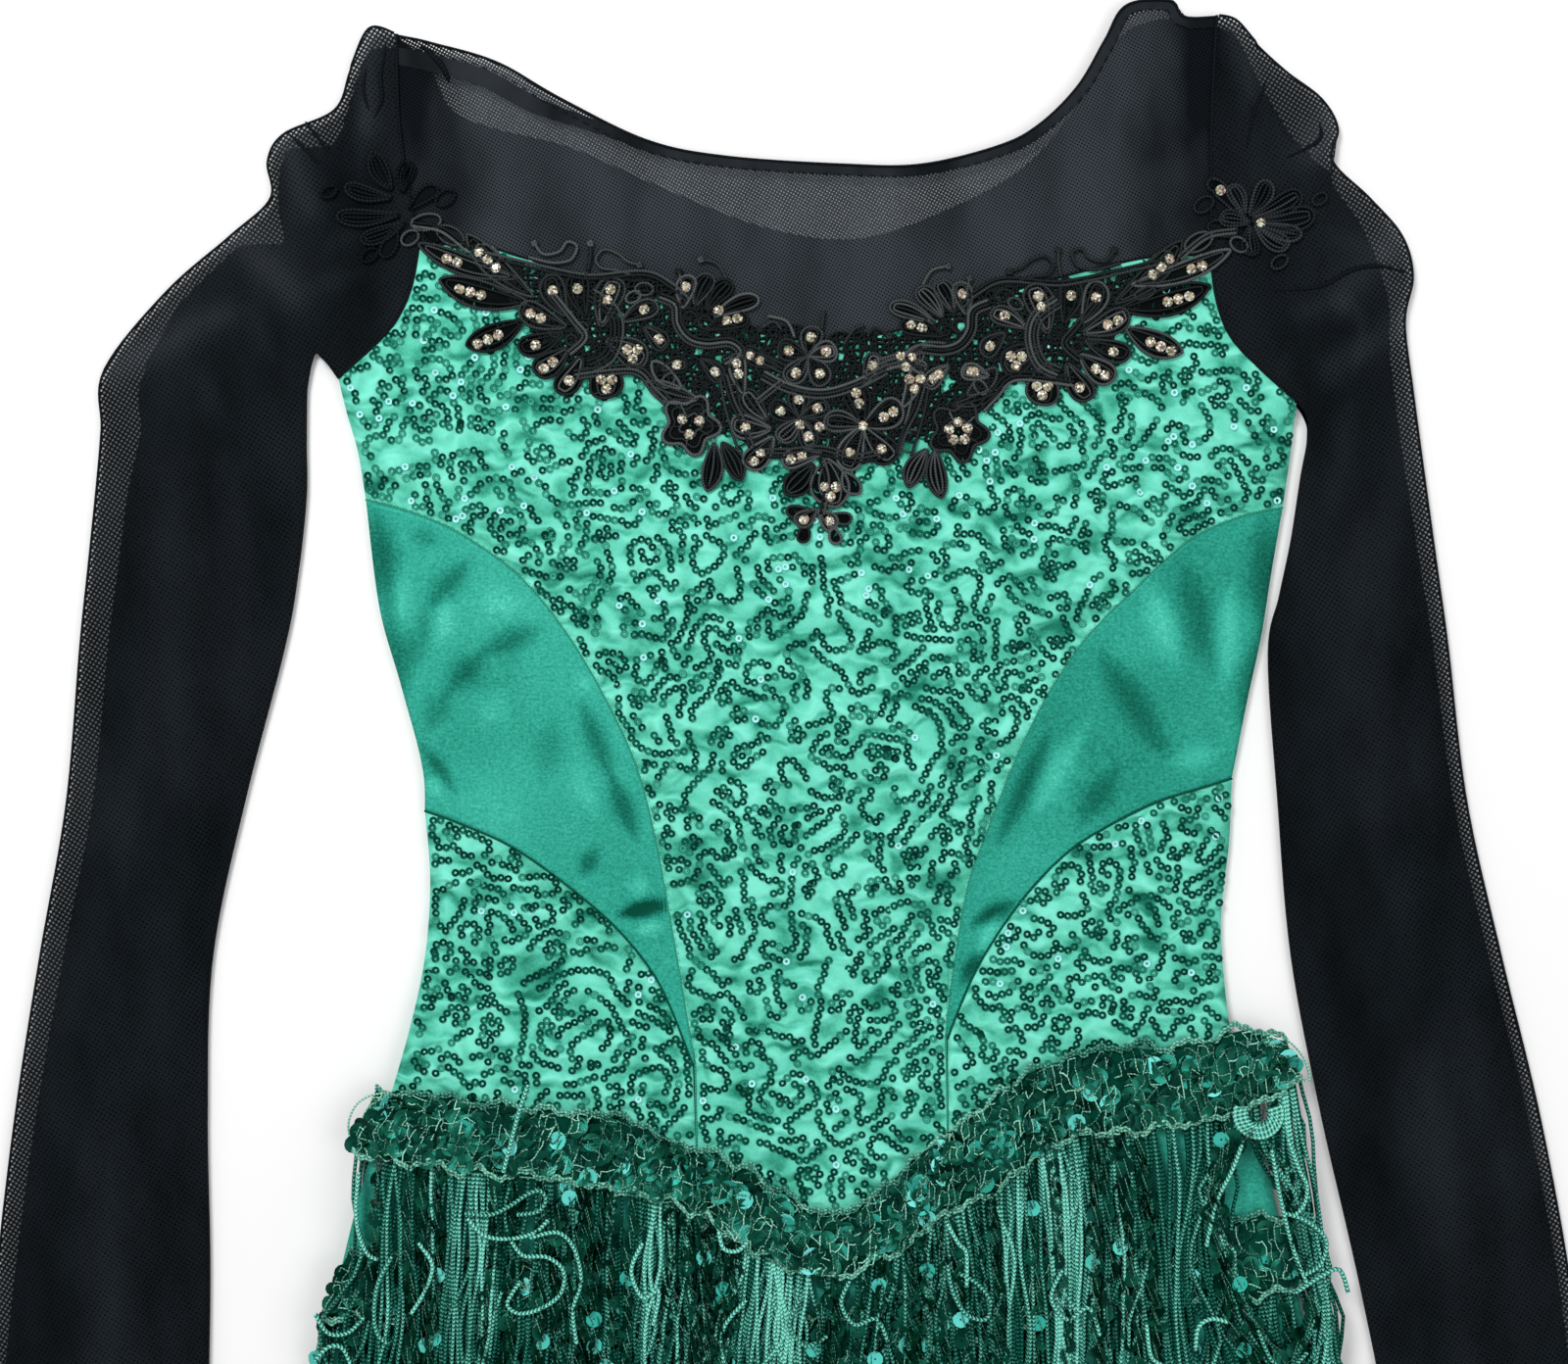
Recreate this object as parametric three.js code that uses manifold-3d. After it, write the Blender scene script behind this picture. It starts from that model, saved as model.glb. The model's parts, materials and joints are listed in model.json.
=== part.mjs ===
// A long-sleeved stage unitard laid out flat, face up: sequined bodice with satin insets, sheer yoke and
// sleeves, a lace applique, two tiers of fringe under sequin trims, and short legs.
// Millimetres, +Z up. The origin is on the underside of the back, at the middle of the waist; +Y points
// to the neck. Each cloth piece is a thin wall, and a piece keeps a small gap to the next one at a seam.
import * as THREE from "three";
import Module from "manifold-3d";
import { mergeVertices } from "three/addons/utils/BufferGeometryUtils.js";

const wasm = await Module();
wasm.setup();

// ---------------------------------------------------------------- driving dimensions
const WALL = 1.2; // wall of the body cloth
const SLEEVE_WALL = 1.0; // wall of the sleeve net
const SEAM = 0.36; // gap between neighbouring pieces
const LAYER = 0.4; // gap between one layer and the next
const CROWN = 1.4; // how far the front stands off the back, away from the side seams
const HIP_SLACK = 0.5; // and over the hips
const CROWN_EDGE = 12; // distance over which the front rises from a side seam
const HIP_LIFT = 3.4; // how far the back fringe holds the hips off the floor
const HIP_RAMP = { from: -38, to: -92 }; // the back rises between these two heights
const HEM_RAMP = { from: -325, to: -348 }; // and the legs come down again here
const LACE = { petal: 1.4, hub: 2.3, dome: 0.7 }; // applique: petals, raised hubs and how far these narrow
const TRIM = { wall: 1.6, bump: 0.6, scallop: 2.2, scallopPitch: 23 };
const STRIP = { wall: 1.2, width: 7, aboveEdge: 6.5 }; // the tape a fringe hangs from, under the trim's edge
const LOCK = { width: 3.7, height: 2.2, rootHeight: 1.0, neckHeight: 1.5 }; // a lock of fringe, three-sided
const LOWER_TIER_DROP = 54; // the lower trim below the upper one, before it is flattened

const COLOURS = {
  net: { color: 0x17191c, roughness: 0.85, metalness: 0 },
  sequined: { color: 0x35b190, roughness: 0.5, metalness: 0.05 },
  satin: { color: 0x2a9c80, roughness: 0.4, metalness: 0 },
  lace: { color: 0x0d0d0f, roughness: 0.75, metalness: 0 },
  trim: { color: 0x0b4a37, roughness: 0.4, metalness: 0.2 },
  fringe: { color: 0x2c8f78, roughness: 0.6, metalness: 0 },
};

// ---------------------------------------------------------------- outlines in plan, left and right as worn
// Each outline is [x, y] in mm from the origin, smoothed by a spline.
const SIDE = {
  left: {
    chest: [[-180, 169], [-177, 156], [-173, 142], [-170, 124]],
    inset: [[-170, 124], [-165, 84], [-157, 55], [-149, 25], [-148, 8]],
    hip: [[-148, 8], [-146, -18], [-148, -47], [-154, -76], [-163, -107]],
    short: [[-163, -107], [-170, -128], [-179, -164], [-187, -200], [-192, -245], [-195, -309], [-196, -345]],
  },
  right: {
    chest: [[177, 160], [175, 142], [172, 121]],
    inset: [[172, 121], [168, 98], [164, 73], [159, 50], [153, 20]],
    hip: [[153, 20], [152, -4], [149, -33], [151, -66], [154, -87]],
    short: [[154, -87], [164, -120], [173, -156], [183, -200], [189, -245], [192, -309], [193, -345]],
  },
};
const ARMHOLE = {
  left: {
    upper: [[-158, 297], [-157, 262], [-150, 218]],
    lower: [[-150, 218], [-153, 202], [-161, 187], [-180, 169]],
  },
  right: {
    upper: [[147, 304], [145, 263], [145, 214]],
    lower: [[145, 214], [147, 198], [154, 182], [177, 160]],
  },
};
const YOKE_SEAM = [
  [-150, 218], [-130, 219], [-108, 213], [-65, 200], [-32, 188], [0, 183], [33, 188], [66, 200], [106, 211],
  [130, 215], [145, 214],
];
const NECK_FRONT = [
  [-158, 297], [-145, 294], [-121, 287], [-96, 273], [-65, 258], [-36, 252], [8, 249], [37, 249], [66, 256],
  [81, 264], [95, 278], [105, 295], [113, 308], [130, 310], [135, 304], [147, 304],
];
const NECK_BACK = [
  [-158, 296], [-147, 286], [-138, 269], [-122, 262], [-94, 255], [-62, 241], [-21, 225], [15, 221], [52, 234],
  [76, 248], [92, 266], [108, 292], [122, 302], [147, 303],
];
// Where the satin insets meet the centre panel (upper) and the hip panels (lower).
const INSET = {
  left: {
    upper: [[-170, 124], [-152, 119], [-134, 111], [-112, 95], [-94, 73], [-79, 47], [-68, 22], [-61, -7],
      [-55, -40], [-50, -69], [-47, -85]],
    lower: [[-148, 8], [-134, 3], [-116, -5], [-97, -18], [-79, -33], [-65, -49], [-57, -63], [-47.6, -86.5]],
  },
  right: {
    upper: [[172, 121], [157, 118], [137, 109], [117, 91], [99, 73], [84, 51], [73, 29], [63, 4], [55, -18],
      [50, -44], [46, -75]],
    lower: [[153, 20], [143, 17], [124, 11], [106, 2], [92, -7], [77, -22], [64, -40], [55, -56], [46.6, -76.5]],
  },
};
const BODICE_HEM = {
  left: [[-163, -107], [-116, -113], [-76, -119], [-46, -129]],
  middle: [[-46, -129], [-21, -142], [3, -151], [26, -142], [47, -125]],
  right: [[47, -125], [81, -104], [113, -94], [154, -87]],
};
const CROTCH = { y: -291, hem: -348, half: 0.6, legGap: 1.9 };
const TRIM_EDGES = {
  upperTop: [[-165, -95], [-133, -99], [-95, -103], [-72, -107], [-52, -115], [-25, -126], [2, -141], [23, -131],
    [39, -117], [65, -97], [79, -88], [106, -80], [132, -80], [157, -73], [172, -78]],
  upperBottom: [[-174, -117], [-140, -124], [-114, -126], [-76, -132], [-46, -140], [-29, -152], [1, -163],
    [29, -154], [42, -142], [63, -132], [89, -113], [117, -110], [151, -104], [168, -96], [177, -90]],
};

// Sleeve stations from armhole to cuff: outer edge and inner edge, and how far the top stands off the bottom.
const SLEEVE_COLUMNS = ["outerX", "outerY", "innerX", "innerY", "puff"];
const SLEEVE = {
  left: [
    [-158.0, 297, -180.0, 169, 2.2],
    [-168, 299, -183.5, 174, 2.2],
    [-175, 284, -186.5, 177, 2.4],
    [-181, 269, -188, 178.5, 2.4],
    [-200, 260, -189, 178, 2.4],
    [-206, 250, -189.6, 176, 2.2],
    [-205, 236, -190.2, 174, 2.0],
    [-220, 222, -190.8, 171, 1.9],
    [-244, 201, -191.3, 168, 1.7],
    [-267, 172, -191.8, 163, 1.5],
    [-268, 150, -192, 145, 1.3],
    [-270, 127, -192, 125, 1.2],
    [-273, 98, -195, 97, 1.1],
    [-276, 69, -200, 69, 1.0],
    [-281, 11, -215, 11, 0.9],
    [-291, -47, -227, -47, 0.9],
    [-300, -105, -229, -105, 0.9],
    [-307, -164, -228, -164, 0.9],
    [-312, -220, -229, -220, 0.9],
    [-316, -270, -231, -270, 0.8],
  ],
  right: [
    [147.0, 304, 177.0, 160, 2.2],
    [154, 302, 179.6, 157, 2.2],
    [162, 293, 180.6, 155, 2.4],
    [173, 283, 181.2, 153, 2.4],
    [186, 273, 181.5, 150, 2.4],
    [192, 262, 181.3, 148, 2.2],
    [190, 250, 181, 146, 2.0],
    [204, 236, 180.6, 143, 1.9],
    [216, 222, 180, 140, 1.8],
    [220, 207, 179.4, 137, 1.7],
    [217, 190, 178.5, 132, 1.6],
    [220, 164, 177.6, 126, 1.4],
    [225, 127, 174.8, 108, 1.2],
    [229, 98, 170.6, 88, 1.1],
    [233, 69, 166.4, 66, 1.0],
    [240, 11, 170, 11, 0.9],
    [253, -47, 175, -47, 0.9],
    [267, -105, 186, -105, 0.9],
    [278, -164, 199.5, -164, 0.9],
    [285, -220, 211, -220, 0.9],
    [291, -270, 220, -270, 0.8],
  ],
};
// The largest folds: a ridge from one point to another, its half width and height.
const FOLD_COLUMNS = ["x1", "y1", "x2", "y2", "halfWidth", "height"];
const SLEEVE_FOLDS = [
  [-167, 296, -169, 262, 4.5, 2.4],
  [-199, 256, -190, 232, 6, 2.4],
  [-216, 221, -196, 199, 7, 2.2],
  [-262, 172, -222, 192, 6, 2.2],
  [-244, 130, -238, 20, 8, 1.0],
  [-262, -120, -268, -250, 9, 1.0],
  [153, 298, 160, 276, 4.5, 2.4],
  [190, 266, 182, 252, 6, 2.6],
  [214, 222, 194, 198, 7, 2.4],
  [218, 190, 190, 172, 6, 2.2],
  [207, 110, 204, 10, 8, 1.0],
  [226, -90, 248, -250, 9, 1.0],
];
const BODY_FOLDS = [
  [-146, 26, -122, 4, 6, 0.8],
  [-150, 96, -118, 66, 8, 0.7],
  [-84, -22, -58, -34, 5, 0.7],
  [145, 96, 116, 62, 8, 0.7],
  [136, 40, 96, 12, 8, 0.6],
  [-120, -60, -60, -98, 8, 0.6],
  [60, -90, 130, -52, 8, 0.6],
];
const YOKE_FOLDS = [
  [-150, 290, -118, 279, 5, 1.8],
  [-126, 262, -96, 246, 7, 1.0],
  [118, 304, 130, 286, 5, 1.8],
  [96, 262, 128, 246, 8, 0.9],
];

// ---------------------------------------------------------------- small helpers
const mix = (a, b, t) => a + (b - a) * t;
const smoothstep = (from, to, v) => {
  const t = Math.min(1, Math.max(0, (v - from) / (to - from)));
  return t * t * (3 - 2 * t);
};
const vec = ([x, y]) => new THREE.Vector2(x, y);
const spline = (points, segments) => new THREE.SplineCurve(points.map(vec)).getSpacedPoints(segments);
const chain = (...lines) => lines.flatMap((line, i) => (i ? line.slice(1) : line));
const reversed = (line) => [...line].reverse();
const rows = (columns, table) => table.map((row) => Object.fromEntries(columns.map((c, i) => [c, row[i]])));

// A curve's points at the same spacing as another line's steps, each step's fall counted in part.
function spacedLike(points, line) {
  const FALL_SHARE = 0.8;
  const steps = line.slice(1).map((p, i) => Math.abs(p.x - line[i].x) + FALL_SHARE * Math.abs(p.y - line[i].y));
  const whole = steps.reduce((a, b) => a + b, 0);
  const curve = new THREE.SplineCurve(points.map(vec));
  let gone = 0;
  return [curve.getPointAt(0), ...steps.map((s) => curve.getPointAt(Math.min(1, (gone += s) / whole)))];
}

// x of an edge at height y, from points that run down the garment.
function edgeAt(points, y) {
  if (y >= points[0].y) return points[0].x;
  for (let i = 1; i < points.length; i++) {
    const [a, b] = [points[i - 1], points[i]];
    if (y >= b.y) return mix(a.x, b.x, (a.y - y) / (a.y - b.y));
  }
  return points.at(-1).x;
}

// Height of the ridges of a fold table at a point.
function foldHeight(folds, x, y) {
  let sum = 0;
  for (const f of folds) {
    const [dx, dy] = [f.x2 - f.x1, f.y2 - f.y1];
    const t = ((x - f.x1) * dx + (y - f.y1) * dy) / (dx * dx + dy * dy);
    const along = Math.min(1, Math.max(0, t));
    const off = Math.hypot(x - f.x1 - along * dx, y - f.y1 - along * dy) / f.halfWidth;
    sum += f.height * Math.exp(-off * off);
  }
  return sum;
}

// A patch of points bounded by four lines, bottom and top running left to right, left and right upwards.
function patch(bottom, top, left, right) {
  const [n, m] = [bottom.length - 1, left.length - 1];
  const corner = (u, v) => [
    mix(mix(bottom[0].x, bottom[n].x, u), mix(top[0].x, top[n].x, u), v),
    mix(mix(bottom[0].y, bottom[n].y, u), mix(top[0].y, top[n].y, u), v),
  ];
  return left.map((_, j) =>
    bottom.map((_, i) => {
      const [u, v] = [i / n, j / m];
      const [cx, cy] = corner(u, v);
      const x = mix(bottom[i].x, top[i].x, v) + mix(left[j].x, right[j].x, u) - cx;
      const y = mix(bottom[i].y, top[i].y, v) + mix(left[j].y, right[j].y, u) - cy;
      return new THREE.Vector2(x, y);
    }),
  );
}

// The patch with its rim drawn in by half a seam, so that neighbours keep the seam's gap.
function drawnIn(grid, by = SEAM / 2) {
  const [m, n] = [grid.length - 1, grid[0].length - 1];
  const rim = [];
  for (let i = 0; i < n; i++) rim.push([0, i]);
  for (let j = 0; j < m; j++) rim.push([j, n]);
  for (let i = n; i > 0; i--) rim.push([m, i]);
  for (let j = m; j > 0; j--) rim.push([j, 0]);
  const at = (k) => grid[rim[(k + rim.length) % rim.length][0]][rim[(k + rim.length) % rim.length][1]];
  const inward = (a, b) => {
    const d = b.clone().sub(a).normalize();
    return new THREE.Vector2(-d.y, d.x);
  };
  const moved = rim.map((_, k) => {
    const [n1, n2] = [inward(at(k - 1), at(k)), inward(at(k), at(k + 1))];
    const mean = n1.clone().add(n2);
    const stretch = Math.max(0.5, mean.lengthSq() / 2); // a sharp corner moves further, within reason
    return at(k).clone().addScaledVector(mean, by / stretch);
  });
  const out = grid.map((row) => row.map((p) => p.clone()));
  rim.forEach(([j, i], k) => out[j][i].copy(moved[k]));
  return out;
}

// A closed body from two grids of points, under and over.
function wallBetween(under, over) {
  const [m, n] = [under.length - 1, under[0].length - 1];
  const position = [...under.flat(), ...over.flat()].flatMap((p) => [p.x, p.y, p.z]);
  const low = (j, i) => j * (n + 1) + i;
  const high = (j, i) => (m + 1) * (n + 1) + low(j, i);
  const index = [];
  const quad = (a, b, c, d) => index.push(a, b, c, a, c, d);
  for (let j = 0; j < m; j++) {
    for (let i = 0; i < n; i++) {
      quad(low(j, i), low(j + 1, i), low(j + 1, i + 1), low(j, i + 1));
      quad(high(j, i), high(j, i + 1), high(j + 1, i + 1), high(j + 1, i));
    }
  }
  for (let i = 0; i < n; i++) {
    quad(low(0, i), low(0, i + 1), high(0, i + 1), high(0, i));
    quad(low(m, i + 1), low(m, i), high(m, i), high(m, i + 1));
  }
  for (let j = 0; j < m; j++) {
    quad(low(j + 1, 0), low(j, 0), high(j, 0), high(j + 1, 0));
    quad(low(j, n), low(j + 1, n), high(j + 1, n), high(j, n));
  }
  return new THREE.BufferGeometry()
    .setAttribute("position", new THREE.Float32BufferAttribute(position, 3))
    .setIndex(index);
}

// A wall on a patch, standing on height(x, y), with its outer points raised by relief(x, y).
function clothWall(grid, height, wall = WALL, relief = () => 0) {
  const lifted = (extra) =>
    grid.map((row) => row.map((p) => new THREE.Vector3(p.x, p.y, height(p.x, p.y) + extra(p.x, p.y))));
  return wallBetween(lifted(() => 0), lifted((x, y) => wall + relief(x, y)));
}

// ---------------------------------------------------------------- joining with manifold-3d
function toSolid(geometry) {
  const bare = geometry.clone();
  bare.deleteAttribute("normal");
  bare.deleteAttribute("uv");
  const merged = mergeVertices(bare, 1e-4);
  const triVerts = new Uint32Array(merged.index.array);
  return new wasm.Manifold(
    new wasm.Mesh({ numProp: 3, vertProperties: merged.attributes.position.array, triVerts }),
  );
}

function toGeometry(solid) {
  const mesh = solid.getMesh();
  return new THREE.BufferGeometry()
    .setAttribute("position", new THREE.Float32BufferAttribute(mesh.vertProperties, 3))
    .setIndex([...mesh.triVerts]);
}

const joined = (geometries) => geometries.map(toSolid).reduce((a, b) => a.add(b));

// ---------------------------------------------------------------- heights of the layers
const SIDE_STEPS = { chest: 2, inset: 5, hip: 5, short: 8 };
const sideLine = (side, part) => spline(SIDE[side][part], SIDE_STEPS[part]);
const wholeSide = (side) => chain(...["chest", "inset", "hip", "short"].map((part) => sideLine(side, part)));
const sides = { left: wholeSide("left"), right: wholeSide("right") };
const bodyFolds = rows(FOLD_COLUMNS, BODY_FOLDS);
const yokeFolds = rows(FOLD_COLUMNS, YOKE_FOLDS);
const sleeveFolds = rows(FOLD_COLUMNS, SLEEVE_FOLDS);

const hemSlope = (y) => THREE.MathUtils.clamp((y - HEM_RAMP.to) / (HEM_RAMP.from - HEM_RAMP.to), 0, 1);
const lift = (y) => HIP_LIFT * smoothstep(HIP_RAMP.from, HIP_RAMP.to, y) * hemSlope(y);
const backUnder = (x, y) => lift(y);
function crown(x, y) {
  const shoulder = smoothstep(150, 175, y); // above the underarm the sleeves go on, so the front stays up
  const inside = Math.max(0, Math.min(x - edgeAt(sides.left, y), edgeAt(sides.right, y) - x));
  const rise = 1 - Math.exp(-inside / CROWN_EDGE);
  return CROWN * mix(rise, 1, shoulder) + foldHeight(bodyFolds, x, y) + foldHeight(yokeFolds, x, y);
}
// Over the hips, where the trims and fringe lie, the front is plain and level.
function frontUnder(x, y) {
  const free = smoothstep(HIP_RAMP.to, HIP_RAMP.from, y);
  return lift(y) + WALL + LAYER + mix(HIP_SLACK, crown(x, y), free);
}
const HIP_TOP = HIP_LIFT + WALL + LAYER + HIP_SLACK + WALL;

// ---------------------------------------------------------------- seams, each sampled once
const HALF_SEAM_STEPS = 8; // along an inset's seam
const PRINCESS_STEPS = 3; // down the seam between centre and hip panels
const HEM_STEPS = { side: 8, middle: 8 };
const ARM_STEPS = { upper: 3, lower: 3 };
const seam = {};
for (const side of ["left", "right"]) {
  seam[side] = {
    armUpper: spline(ARMHOLE[side].upper, ARM_STEPS.upper),
    armLower: spline(ARMHOLE[side].lower, ARM_STEPS.lower),
    insetUpper: spline(INSET[side].upper, HALF_SEAM_STEPS),
    insetLower: spline(INSET[side].lower, HALF_SEAM_STEPS),
    hem: spline(BODICE_HEM[side], HEM_STEPS.side),
  };
}
seam.hemMiddle = spline(BODICE_HEM.middle, HEM_STEPS.middle);
const hemLine = chain(seam.left.hem, seam.hemMiddle, seam.right.hem); // front and back alike
const hemEnds = { left: seam.hemMiddle[0], right: seam.hemMiddle.at(-1) };
for (const side of ["left", "right"]) {
  const apex = INSET[side].upper.at(-1);
  seam[side].princess = spline([apex, hemEnds[side].toArray()], PRINCESS_STEPS); // from apex down to the hem
}

const centreBottom = chain(
  seam.left.insetUpper, seam.left.princess, seam.hemMiddle, reversed(seam.right.princess),
  reversed(seam.right.insetUpper),
);
const YOKE_STEPS = centreBottom.length - 1 - 2 * ARM_STEPS.lower;
const yokeLine = spacedLike(YOKE_SEAM, centreBottom.slice(ARM_STEPS.lower, ARM_STEPS.lower + YOKE_STEPS + 1));
const centreTop = chain(reversed(seam.left.armLower), yokeLine, seam.right.armLower);

// ---------------------------------------------------------------- the body's panels
function centrePanel() {
  const ROWS = 7;
  const left = spline(reversed(SIDE.left.chest), ROWS);
  const right = spline(reversed(SIDE.right.chest), ROWS);
  return clothWall(drawnIn(patch(centreBottom, centreTop, left, right)), frontUnder);
}

function insetPanel(side) {
  const { insetUpper, insetLower } = seam[side];
  const outer = reversed(sideLine(side, "inset"));
  const tip = spline([insetLower.at(-1).toArray(), insetUpper.at(-1).toArray()], SIDE_STEPS.inset);
  const grid =
    side === "left"
      ? patch(insetLower, insetUpper, outer, tip)
      : patch(reversed(insetLower), reversed(insetUpper), tip, outer);
  return clothWall(drawnIn(grid), frontUnder);
}

function hipPanel(side) {
  const tip = seam[side].insetLower.at(-1);
  const innerLine = spline([hemEnds[side].toArray(), tip.toArray()], SIDE_STEPS.hip);
  const outer = reversed(sideLine(side, "hip"));
  const { insetLower, hem } = seam[side];
  const grid =
    side === "left"
      ? patch(hem, insetLower, outer, innerLine)
      : patch(hem, reversed(insetLower), innerLine, outer);
  return clothWall(drawnIn(grid), frontUnder);
}

function frontYoke() {
  const neck = spacedLike(NECK_FRONT, yokeLine);
  const grid = patch(yokeLine, neck, reversed(seam.left.armUpper), reversed(seam.right.armUpper));
  return clothWall(drawnIn(grid), frontUnder);
}

const BACK_STEPS = hemLine.length - 1 - 2 * ARM_STEPS.lower;
const backSeam = spline(YOKE_SEAM, BACK_STEPS);

function backYoke() {
  const neck = spacedLike(NECK_BACK, backSeam);
  const grid = patch(backSeam, neck, reversed(seam.left.armUpper), reversed(seam.right.armUpper));
  return clothWall(drawnIn(grid), backUnder);
}

function backBodice() {
  const ROWS = 9;
  const top = chain(reversed(seam.left.armLower), backSeam, seam.right.armLower);
  const side = (name) => {
    const line = chain(...["chest", "inset", "hip"].map((part) => sideLine(name, part)));
    return spline(reversed(line).map((p) => p.toArray()), ROWS);
  };
  return clothWall(drawnIn(patch(hemLine, top, side("left"), side("right"))), backUnder);
}

// The short legs and hips, front or back: one panel with the crotch notched out of its bottom edge.
function shortsPanel(height) {
  const ROWS = 6;
  const NOTCH_STEPS = 2;
  const legSteps = (hemLine.length - 1 - 3 * NOTCH_STEPS) / 2;
  const { y, hem: foot, half, legGap } = CROTCH;
  const bottom = chain(
    spline([SIDE.left.short.at(-1), [-legGap, foot]], legSteps),
    spline([[-legGap, foot], [-half, y]], NOTCH_STEPS),
    spline([[-half, y], [half, y]], NOTCH_STEPS),
    spline([[half, y], [legGap, foot]], NOTCH_STEPS),
    spline([[legGap, foot], SIDE.right.short.at(-1)], legSteps),
  );
  const left = spline(reversed(SIDE.left.short), ROWS);
  const right = spline(reversed(SIDE.right.short), ROWS);
  return clothWall(drawnIn(patch(bottom, hemLine, left, right)), height);
}
// ---------------------------------------------------------------- sleeves: flattened tubes, open at both ends
function sleeveTube(side) {
  const stations = rows(SLEEVE_COLUMNS, SLEEVE[side]);
  const outward = side === "left" ? -1 : 1;
  const arm = chain(seam[side].armUpper, seam[side].armLower); // shoulder to underarm
  const n = arm.length - 1;
  const SHAPE_STATIONS = 7; // the armhole's curve fades out over these stations
  const rings = stations.map((s, k) => {
    const fade = 1 - smoothstep(0, SHAPE_STATIONS, k);
    const across = arm.map((p, i) => {
      const w = i / n;
      const chord = { x: mix(arm[0].x, arm[n].x, w), y: mix(arm[0].y, arm[n].y, w) };
      const x = mix(s.outerX, s.innerX, w) + fade * (p.x - chord.x) + outward * SEAM;
      const y = mix(s.outerY, s.innerY, w) + fade * (p.y - chord.y) + SEAM / 2;
      return { x, y, w };
    });
    const topOf = ({ x, y, w }) => {
      const round = Math.sin(Math.PI * Math.min(1, Math.max(0, w))) ** 0.5;
      const armholeTop = s.puff * (k < 2 ? 1 : mix(0.35, 1, round));
      const EDGE_FREE = 0.12; // folds die out at the two edges of the tube
      const free = smoothstep(0, EDGE_FREE, w) * smoothstep(1, 1 - EDGE_FREE, w) * smoothstep(0, 1.5, k);
      return 2 * SLEEVE_WALL + armholeTop + free * foldHeight(sleeveFolds, x, y);
    };
    const inset = (i) => {
      const [a, b] = [across[Math.max(0, Math.min(n, i ? n - 1 : 1))], across[i]];
      const length = Math.hypot(a.x - b.x, a.y - b.y);
      return { x: b.x + ((a.x - b.x) * SLEEVE_WALL) / length, y: b.y + ((a.y - b.y) * SLEEVE_WALL) / length };
    };
    const innerXY = across.map((p, i) => (i === 0 || i === n ? inset(i) : p));
    const topZ = across.map(topOf);
    const outer = [
      ...across.map((p, i) => [p.x, p.y, topZ[i]]),
      ...reversed(across).map((p) => [p.x, p.y, 0]),
    ];
    const inner = [
      ...innerXY.map((p, i) => [p.x, p.y, topZ[i] - SLEEVE_WALL]),
      ...reversed(innerXY).map((p) => [p.x, p.y, SLEEVE_WALL]),
    ];
    return { outer, inner };
  });
  const size = rings[0].outer.length;
  const position = rings.flatMap((r) => [...r.outer, ...r.inner]).flat();
  const out = (k, i) => k * 2 * size + (i % size);
  const inn = (k, i) => k * 2 * size + size + (i % size);
  const index = [];
  const quad = (a, b, c, d) => {
    if (outward < 0) index.push(a, b, c, a, c, d);
    else index.push(a, c, b, a, d, c);
  };
  for (let k = 0; k < rings.length - 1; k++) {
    for (let i = 0; i < size; i++) {
      quad(out(k, i), out(k + 1, i), out(k + 1, i + 1), out(k, i + 1));
      quad(inn(k, i + 1), inn(k + 1, i + 1), inn(k + 1, i), inn(k, i));
    }
  }
  const last = rings.length - 1;
  for (let i = 0; i < size; i++) {
    quad(out(0, i), out(0, i + 1), inn(0, i + 1), inn(0, i));
    quad(inn(last, i), inn(last, i + 1), out(last, i + 1), out(last, i));
  }
  return new THREE.BufferGeometry()
    .setAttribute("position", new THREE.Float32BufferAttribute(position, 3))
    .setIndex(index);
}

// ---------------------------------------------------------------- lace applique
// A petal is a teardrop: hub end at (x, y), pointing along angle.
const PETAL_POINTS = 8;
function teardrop(x, y, angle, length, width, grow = 0) {
  const shape = [];
  const a = THREE.MathUtils.degToRad(angle);
  for (let i = 0; i < PETAL_POINTS; i++) {
    const t = (i / PETAL_POINTS) * 2 * Math.PI;
    const along = (length / 2) * (1 - Math.cos(t)) + grow * -Math.cos(t);
    const side = (width / 2 + grow) * Math.sin(t) * mix(0.72, 1.12, along / length);
    shape.push(new THREE.Vector2(
      x + along * Math.cos(a) - side * Math.sin(a),
      y + along * Math.sin(a) + side * Math.cos(a),
    ));
  }
  return new THREE.Shape(shape);
}

const plate = (shape, low, high) =>
  new THREE.ExtrudeGeometry(shape, { depth: high - low, bevelEnabled: false, curveSegments: 6 }).translate(0, 0, low);

// Fans of petals round a hub, on the left half; the right half mirrors them.
const FAN_COLUMNS = ["x", "y", "first", "last", "petals", "length", "width", "hub"];
const LACE_FANS = [
  [-86, 188, 172, 318, 7, 24, 8.5, 7], // the wing's lower fan
  [-84, 194, 62, 138, 3, 15, 8.5, 6], // its upper fan
  [-50, 192, 22, 128, 5, 17, 7.5, 6], // the small fan beside the neck
  [-49, 150.5, 18, 306, 5, 12, 11, 5], // the low flower
  [0, 170, 50, 130, 3, 20, 8.5, 8], // the middle's crown
  [0, 161, 204, 336, 4, 23, 9, 8], // the middle's skirt
  [0, 134, 216, 324, 3, 19, 8.5, 6], // the drop
  [0, 116, 190, 350, 5, 7, 4.5, 3.5], // the drop's tassel of loops
];
const LEAF_COLUMNS = ["x", "y", "angle", "length", "width"];
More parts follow.
